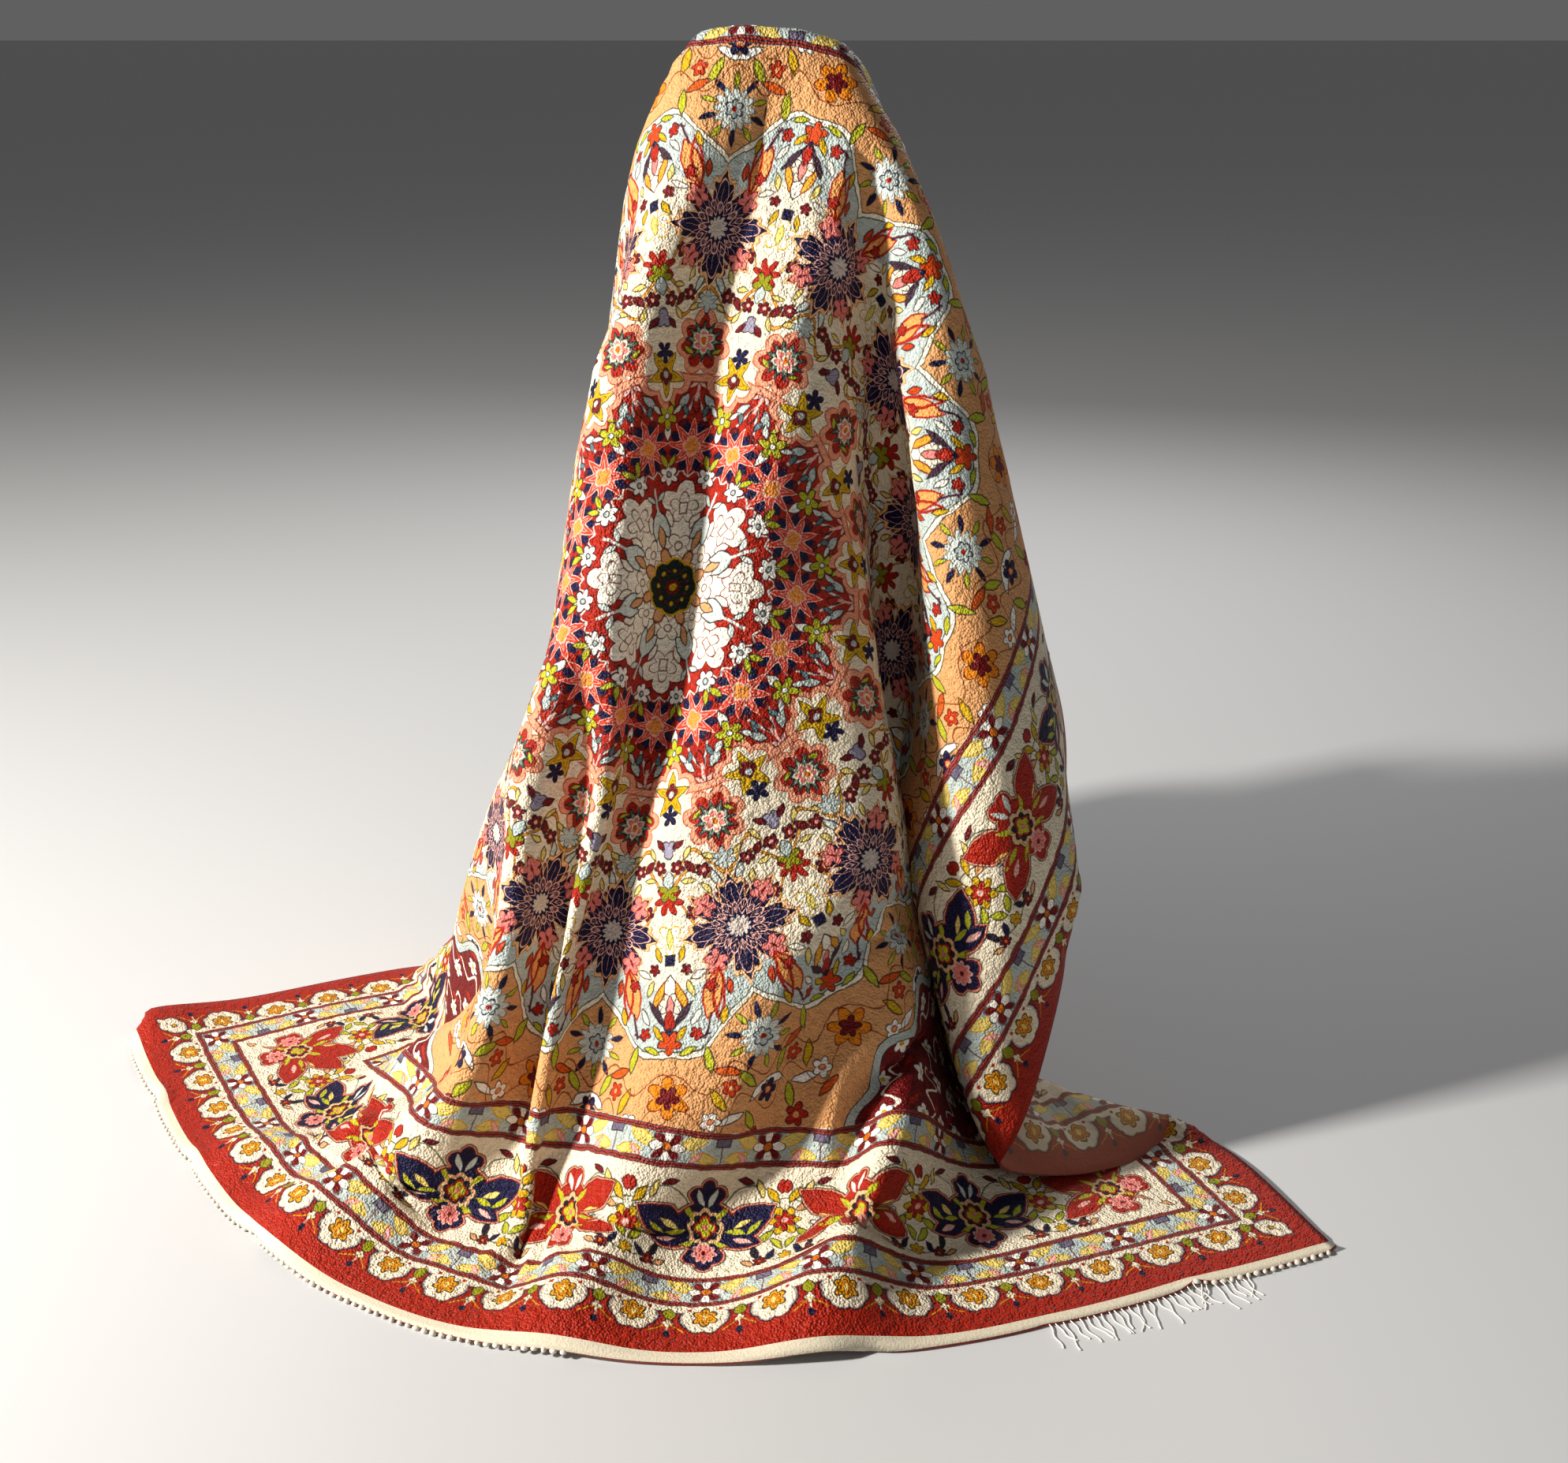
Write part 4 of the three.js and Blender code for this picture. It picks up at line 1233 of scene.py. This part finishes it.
def silk_finish(name, draw, parts):
    material, board = material_board(name)
    plan = board.node("ShaderNodeUVMap", {"uv_map": "plan"})
    stray = board.noise(plan, 9.0, 2.0, output=1)
    stray = board.vector("MULTIPLY", board.vector("SUBTRACT", stray, (0.5, 0.5, 0.5)), (WOBBLE, WOBBLE, 0.0))
    colour = draw(board, board.vector("ADD", plan, stray), parts)
    drift = board.noise(plan, 1.3, 3.0)
    tips = board.noise(plan, 14.0, 2.0)
    value = drift.math("MULTIPLY_ADD", 0.25, 0.72) + tips * 0.3
    bright = {"Color": colour, "Value": value, "Saturation": 1.08}
    shaded = board.node("ShaderNodeHueSaturation", None, bright)
    back = board.node("ShaderNodeAttribute", {"attribute_name": "back"}, output=2)
    shaded = board.mix(back * 0.3, shaded, BACK_COLOUR)
    pebbles = board.node("ShaderNodeTexVoronoi", {"feature": "F1"}, {"Vector": plan, "Scale": 1 / KNOT_PITCH})
    lumps = board.noise(plan, 12.0, 3.0)
    height = (pebbles * -0.5 + lumps * 1.5) * (1 - back * 0.75)
    normal = board.node("ShaderNodeBump", None, {"Height": height, "Distance": 0.004, "Strength": 1.0})
    board.surface(
        Base_Color=shaded,
        Normal=normal,
        Roughness=back * 0.32 + 0.5,
        Sheen_Weight=0.06,
        Sheen_Roughness=0.35,
        Specular_IOR_Level=0.22,
    )
    return material


# %% Plain woven finish for the ends, edges and yarn
FIBRE_SCALE = 360.0
LOOSE_FIBRE_SCALE = 540.0


def yarn_finish(name, colour, scale=FIBRE_SCALE):
    material, board = material_board(name)
    place = board.node("ShaderNodeTexCoord", output=3)
    fibre = board.noise(place, scale, 3.0)
    value = fibre.math("MULTIPLY_ADD", 0.4, 0.8)
    shaded = board.node("ShaderNodeHueSaturation", None, {"Color": colour, "Value": value})
    normal = board.node("ShaderNodeBump", None, {"Height": fibre, "Distance": 0.0008})
    board.surface(Base_Color=shaded, Normal=normal, Roughness=0.8, Sheen_Weight=0.2)
    return material


# %% The sheet's materials
rug_finishes = [silk_finish(ring["name"], draw_field, ring["parts"]) for ring in RINGS]
rug_finishes += [silk_finish(band["name"], draw_borders, band["parts"]) for band in BANDS]
rug_finishes += [yarn_finish("kilim_end", dye("#d8ccb2")), yarn_finish("selvage_silk", dye("#7d1c12"))]
print("rug finishes:", [finish.name for finish in rug_finishes])

# %% [markdown]
# ## The rug's mesh
# The real rug is one cloth, four millimetres thick. A Solidify modifier could thicken the sheet, but a
# mesh written by hand also carries the pattern: the smooth surface is moved half its thickness to each
# side and closed along its edges, and each point keeps its u and v in a UV map called plan.

# %% Two faces and a rim
def finish_of(u, v):
    """Which finish a square of the sheet gets, by its middle."""
    if abs(v) > PILE_LENGTH / 2:
        return len(RINGS) + len(BANDS)
    edge = max(abs(u), abs(v))
    place, zones, first = (edge, BANDS, len(RINGS)) if edge > FIELD else (math.hypot(u, v), RINGS, 0)
    return first + next(number for number, zone in enumerate(zones) if place / CELL < zone["outer"])


FLOOR_CLEARANCE = 0.2


def add_object(name, data):
    made = bpy.data.objects.new(name, data)
    bpy.context.scene.collection.objects.link(made)
    return made


def sheet_mesh(name, places, us, vs):
    rows, columns = places.shape[:2]
    half = surface_normals(places) * THICKNESS / 2
    points = np.concatenate([(places + half).reshape(-1, 3), (places - half).reshape(-1, 3)])
    points[:, 2] = np.maximum(points[:, 2], FLOOR_CLEARANCE)
    count = rows * columns
    index = np.arange(count).reshape(rows, columns)
    a, b = index[:-1, :-1].ravel(), index[:-1, 1:].ravel()
    c, d = index[1:, 1:].ravel(), index[1:, :-1].ravel()
    top = np.column_stack([a, b, c, d])
    under = top[:, ::-1] + count
    edge = np.concatenate([index[0], index[1:, -1], index[-1, -2::-1], index[-2:0:-1, 0]])
    after = np.roll(edge, -1)
    rim = np.column_stack([after, edge, edge + count, after + count])
    faces = np.concatenate([top, under, rim])
    mesh = bpy.data.meshes.new(name)
    mesh.from_pydata((points / METRE).tolist(), [], faces.tolist())
    plan = np.stack(np.meshgrid(us, vs), -1).reshape(-1, 2) / CELL
    corners = np.concatenate([plan, plan])[faces.ravel()]
    mesh.uv_layers.new(name="plan").data.foreach_set("uv", corners.ravel())
    middle_u = (us[:-1] + us[1:]) / 2
    middle_v = (vs[:-1] + vs[1:]) / 2
    slots = [finish_of(u, v) for v in middle_v for u in middle_u] * 2
    slots += [len(RINGS) + len(BANDS) + 1] * len(rim)
    mesh.polygons.foreach_set("material_index", slots)
    back = mesh.attributes.new("back", "FLOAT", "POINT")
    back.data.foreach_set("value", [0.0] * count + [1.0] * count)
    mesh.polygons.foreach_set("use_smooth", [True] * len(faces))
    mesh.update()
    return add_object(name, mesh)


rug = sheet_mesh("silk_rug", sheet, sheet_u, sheet_v)
for finish in rug_finishes:
    rug.data.materials.append(finish)
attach(rug, "root")
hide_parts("rug")
print("rug:", len(rug.data.polygons), "faces")

# %% [markdown]
# ## The yarn at the ends
# On the real rug the warp ends are knotted off along the hem, and a few stand loose at the right. They
# could be modelled one by one, but Geometry Nodes can follow the hem's own line: small beads are copied
# along it as knots, and each loose strand is a drawn line that a tree thickens into a round yarn.

# %% The hem's own line
def hem_route(first, last, outward, count):
    """Points along the front hem from u first to u last, moved outward, and the way out at each."""
    us = np.linspace(first, last, count)
    hem = np.array([-LENGTH / 2])
    edge = resample(fine, us, hem)[0]
    along = resample(fine, us + 1.0, hem)[0] - edge
    along[:, 2] = 0
    along /= np.linalg.norm(along, axis=1, keepdims=True)
    out = np.column_stack([along[:, 1], -along[:, 0], np.zeros(count)])
    return edge + out * outward, out


def chain(start, count):
    return [(k, k + 1) for k in range(start, start + count - 1)]


# %% A tree that grows yarn on a line
def yarn_tree(name, numbers, finish, grow):
    """grow turns the line into a shape. The tree's end makes it real and dresses it."""
    tree = bpy.data.node_groups.new(name, "GeometryNodeTree")
    tree.interface.new_socket("Geometry", in_out="INPUT", socket_type="NodeSocketGeometry")
    for title, value in numbers.items():
        socket = tree.interface.new_socket(title, in_out="INPUT", socket_type="NodeSocketFloat")
        socket.default_value = value
    tree.interface.new_socket("Geometry", in_out="OUTPUT", socket_type="NodeSocketGeometry")
    board = Board(tree)
    entry = tree.nodes.new("NodeGroupInput")
    curve = board.node("GeometryNodeMeshToCurve", None, {0: Wire(board, entry.outputs[0])})
    shape = grow(board, curve, *[Wire(board, entry.outputs[title]) for title in numbers])
    real = board.node("GeometryNodeRealizeInstances", None, {0: shape})
    dressed = board.node("GeometryNodeSetMaterial", None, {0: real, "Material": finish})
    board.node("NodeGroupOutput", None, {0: dressed})
    return tree


def yarn_piece(name, points, edges, numbers, finish, grow):
    """Runs the tree once on a line of points and keeps the plain mesh."""
    mesh = bpy.data.meshes.new(name)
    mesh.from_pydata((points / METRE).tolist(), edges, [])
    piece = add_object(name, mesh)
    modifier = piece.modifiers.new("grow", "NODES")
    modifier.node_group = yarn_tree(name, numbers, finish, grow)
    for item in modifier.node_group.interface.items_tree:
        if item.in_out == "INPUT" and item.name in numbers:
            modifier[item.identifier] = numbers[item.name]
    graph = bpy.context.evaluated_depsgraph_get()
    mesh = bpy.data.meshes.new_from_object(piece.evaluated_get(graph))
    piece.modifiers.clear()
    piece.data = mesh
    mesh.materials.clear()
    mesh.materials.append(finish)
    mesh.polygons.foreach_set("use_smooth", [True] * len(mesh.polygons))
    return piece


# %% Knots along the woven end
KNOT_RUNS = {"end_knots_left": (-985, 60), "end_knots_right": (800, 985)}
KNOT_NUMBERS = {"Knot size": 0.0042, "Spacing": 0.0115}
KNOT_OUTWARD = 1.0
KNOT_LEVEL = 2.6
ROUTE_POINTS = 90


def grow_knots(board, curve, size, spacing):
    places = {"Curve": curve, "Length": spacing}
    points = board.node("GeometryNodeCurveToPoints", {"mode": "LENGTH"}, places)
    bead = board.node("GeometryNodeMeshUVSphere", None, {"Segments": 8, "Rings": 6, "Radius": size})
    squash = board.node(
        "FunctionNodeRandomValue",
        {"data_type": "FLOAT_VECTOR"},
        {"Min": (0.7, 0.7, 0.5), "Max": (1.2, 1.2, 0.8), "Seed": 4},
    )
    copied = {"Points": points, "Instance": bead, "Scale": squash}
    return board.node("GeometryNodeInstanceOnPoints", None, copied)


knot_yarn = yarn_finish("knot_yarn", dye("#d9d2c2"), LOOSE_FIBRE_SCALE)
for name, (first, last) in KNOT_RUNS.items():
    route, _ = hem_route(first, last, KNOT_OUTWARD, ROUTE_POINTS)
    route[:, 2] = np.maximum(route[:, 2], KNOT_LEVEL)
    piece = yarn_piece(name, route, chain(0, ROUTE_POINTS), KNOT_NUMBERS, knot_yarn, grow_knots)
    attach(piece, "root")
    print(name, len(piece.data.polygons), "faces")

# %% The loose warp strands
FRINGE_FROM, FRINGE_TO = 604, 868
FRINGE_STRANDS = 30
FRINGE_REACH = 46.0
FRINGE_SEED = 11
FRINGE_NUMBERS = {"Yarn radius": 0.0008}
STRAND_POINTS = 9
STRAND_LEVEL = 1.0
STRAND_LIFT = 1.4  # a strand leaves the hem at least this far above its level on the floor
STRAND_WAVE = 1.5


def strand_points(root, out, sway, reach):
    along = np.array([-out[1], out[0], 0.0])
    t = np.linspace(0, 1, STRAND_POINTS)[:, None]
    bend = sway * t**2 + STRAND_WAVE * np.sin(t * 9 + sway)
    points = root + out * (t * reach) + along * bend
    lift = max(root[2] - STRAND_LEVEL, STRAND_LIFT)
    points[:, 2] = STRAND_LEVEL + lift * (1 - t[:, 0]) ** 3
    return points


def fringe_lines():
    draw = np.random.default_rng(FRINGE_SEED)
    points, edges = [], []
    for root, out in zip(*hem_route(FRINGE_FROM, FRINGE_TO, 0.0, FRINGE_STRANDS)):
        sway = draw.normal(0, 9)
        reach = FRINGE_REACH * draw.uniform(0.7, 1.12)
        edges += chain(len(points), STRAND_POINTS)
        points += list(strand_points(root, out, sway, reach))
    return np.array(points), edges


def grow_strands(board, curve, radius):
    ring = board.node("GeometryNodeCurvePrimitiveCircle", None, {"Resolution": 6, "Radius": radius})
    tube = {"Curve": curve, "Profile Curve": ring, "Fill Caps": True}
    return board.node("GeometryNodeCurveToMesh", None, tube)


fringe_yarn = yarn_finish("fringe_yarn", dye("#f4f0e6"), LOOSE_FIBRE_SCALE)
fringe = yarn_piece("hem_strands", *fringe_lines(), FRINGE_NUMBERS, fringe_yarn, grow_strands)
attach(fringe, "root")
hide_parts("hem_fringe")
print("fringe:", len(fringe.data.polygons), "faces")

# %% [markdown]
# ## The stand
# The stand is out of sight under the rug, and only its foot and post show from behind. Both could be
# built again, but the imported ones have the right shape, so they stay and get a dark stained wood.

# %% Stained wood
def wood_finish(name):
    material, board = material_board(name)
    place = board.node("ShaderNodeTexCoord", output=3)
    grain = board.noise(place, 40.0, 6.0, Distortion=1.5)
    colour = board.mix(grain, dye("#2c1a10"), dye("#6b442a"))
    normal = board.node("ShaderNodeBump", None, {"Height": grain, "Distance": 0.0004})
    board.surface(Base_Color=colour, Normal=normal, Roughness=0.42, Coat_Weight=0.15)
    return material


wood = wood_finish("stained_wood")
for node in ("stand_foot", "stand_post"):
    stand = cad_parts[node]
    stand.data.materials.clear()
    stand.data.materials.append(wood)
    print(node, "in", wood.name)

# %% [markdown]
# ## Camera, floor and light
# The camera stands in front of the rug at the height of its crest and looks down by about twenty
# degrees, as in the photo. Many lamps could light every fold evenly, but then none would show. So one
# large lamp from the upper left draws the folds, and the rest is soft.

# %% Camera
FOCAL_PIXELS = 2439.0
IMAGE_WIDTH = 1988.0
SENSOR_WIDTH = 36.0
CAMERA_PLACE = (0.0207, -2.495, 1.406)
CAMERA_DOWN = 19.96
camera = add_object("camera", bpy.data.cameras.new("camera"))
camera.data.sensor_width = SENSOR_WIDTH
camera.data.lens = SENSOR_WIDTH * FOCAL_PIXELS / IMAGE_WIDTH
camera.location = CAMERA_PLACE
camera.rotation_euler = (math.radians(90 - CAMERA_DOWN), 0, 0)
bpy.context.scene.camera = camera
print(f"lens {camera.data.lens:.2f} mm")


# %% Floor
FLOOR_REACH = 400.0
FLOOR_GREY = (0.6, 0.6, 0.6)


def plain_floor():
    mesh = bpy.data.meshes.new("floor")
    corners = ((-1, -1), (1, -1), (1, 1), (-1, 1))
    mesh.from_pydata([(x * FLOOR_REACH, y * FLOOR_REACH, 0) for x, y in corners], [], [(0, 1, 2, 3)])
    material, board = material_board("floor_paper")
    board.surface(Base_Color=FLOOR_GREY, Roughness=0.8)
    mesh.materials.append(material)
    return add_object("floor", mesh)


plain_floor()
print("floor reaches", FLOOR_REACH, "m")


# %% Lamps
WORLD_COLOUR = (0.9, 0.9, 0.92, 1)
WORLD_STRENGTH = 0.13


def lamp(name, place, target, power, size, colour=(1, 1, 1)):
    light = bpy.data.lights.new(name, "AREA")
    light.energy = power
    light.color = colour
    light.size = size
    holder = add_object(name, light)
    holder.location = place
    away = np.array(target) - np.array(place)
    tilt = math.atan2(math.hypot(away[0], away[1]), -away[2])
    holder.rotation_euler = (tilt, 0, math.atan2(away[1], away[0]) - math.pi / 2)
    print(name, "lamp,", power, "W")


lamp("key", (-4.7, -1.75, 2.9), (0, -0.1, 0.6), power=600, size=0.5, colour=(1.0, 0.965, 0.91))
lamp("fill", (1.6, -3.6, 2.4), (0, 0, 0.6), power=7, size=2.5)
lamp("back", (0.8, 3.4, 3.0), (0, 0, 0.7), power=60, size=2.0)
world = bpy.data.worlds.new("studio")
world.use_nodes = True
background = world.node_tree.nodes["Background"]
background.inputs["Color"].default_value = WORLD_COLOUR
background.inputs["Strength"].default_value = WORLD_STRENGTH
bpy.context.scene.world = world
bpy.context.scene.view_settings.view_transform = "Standard"
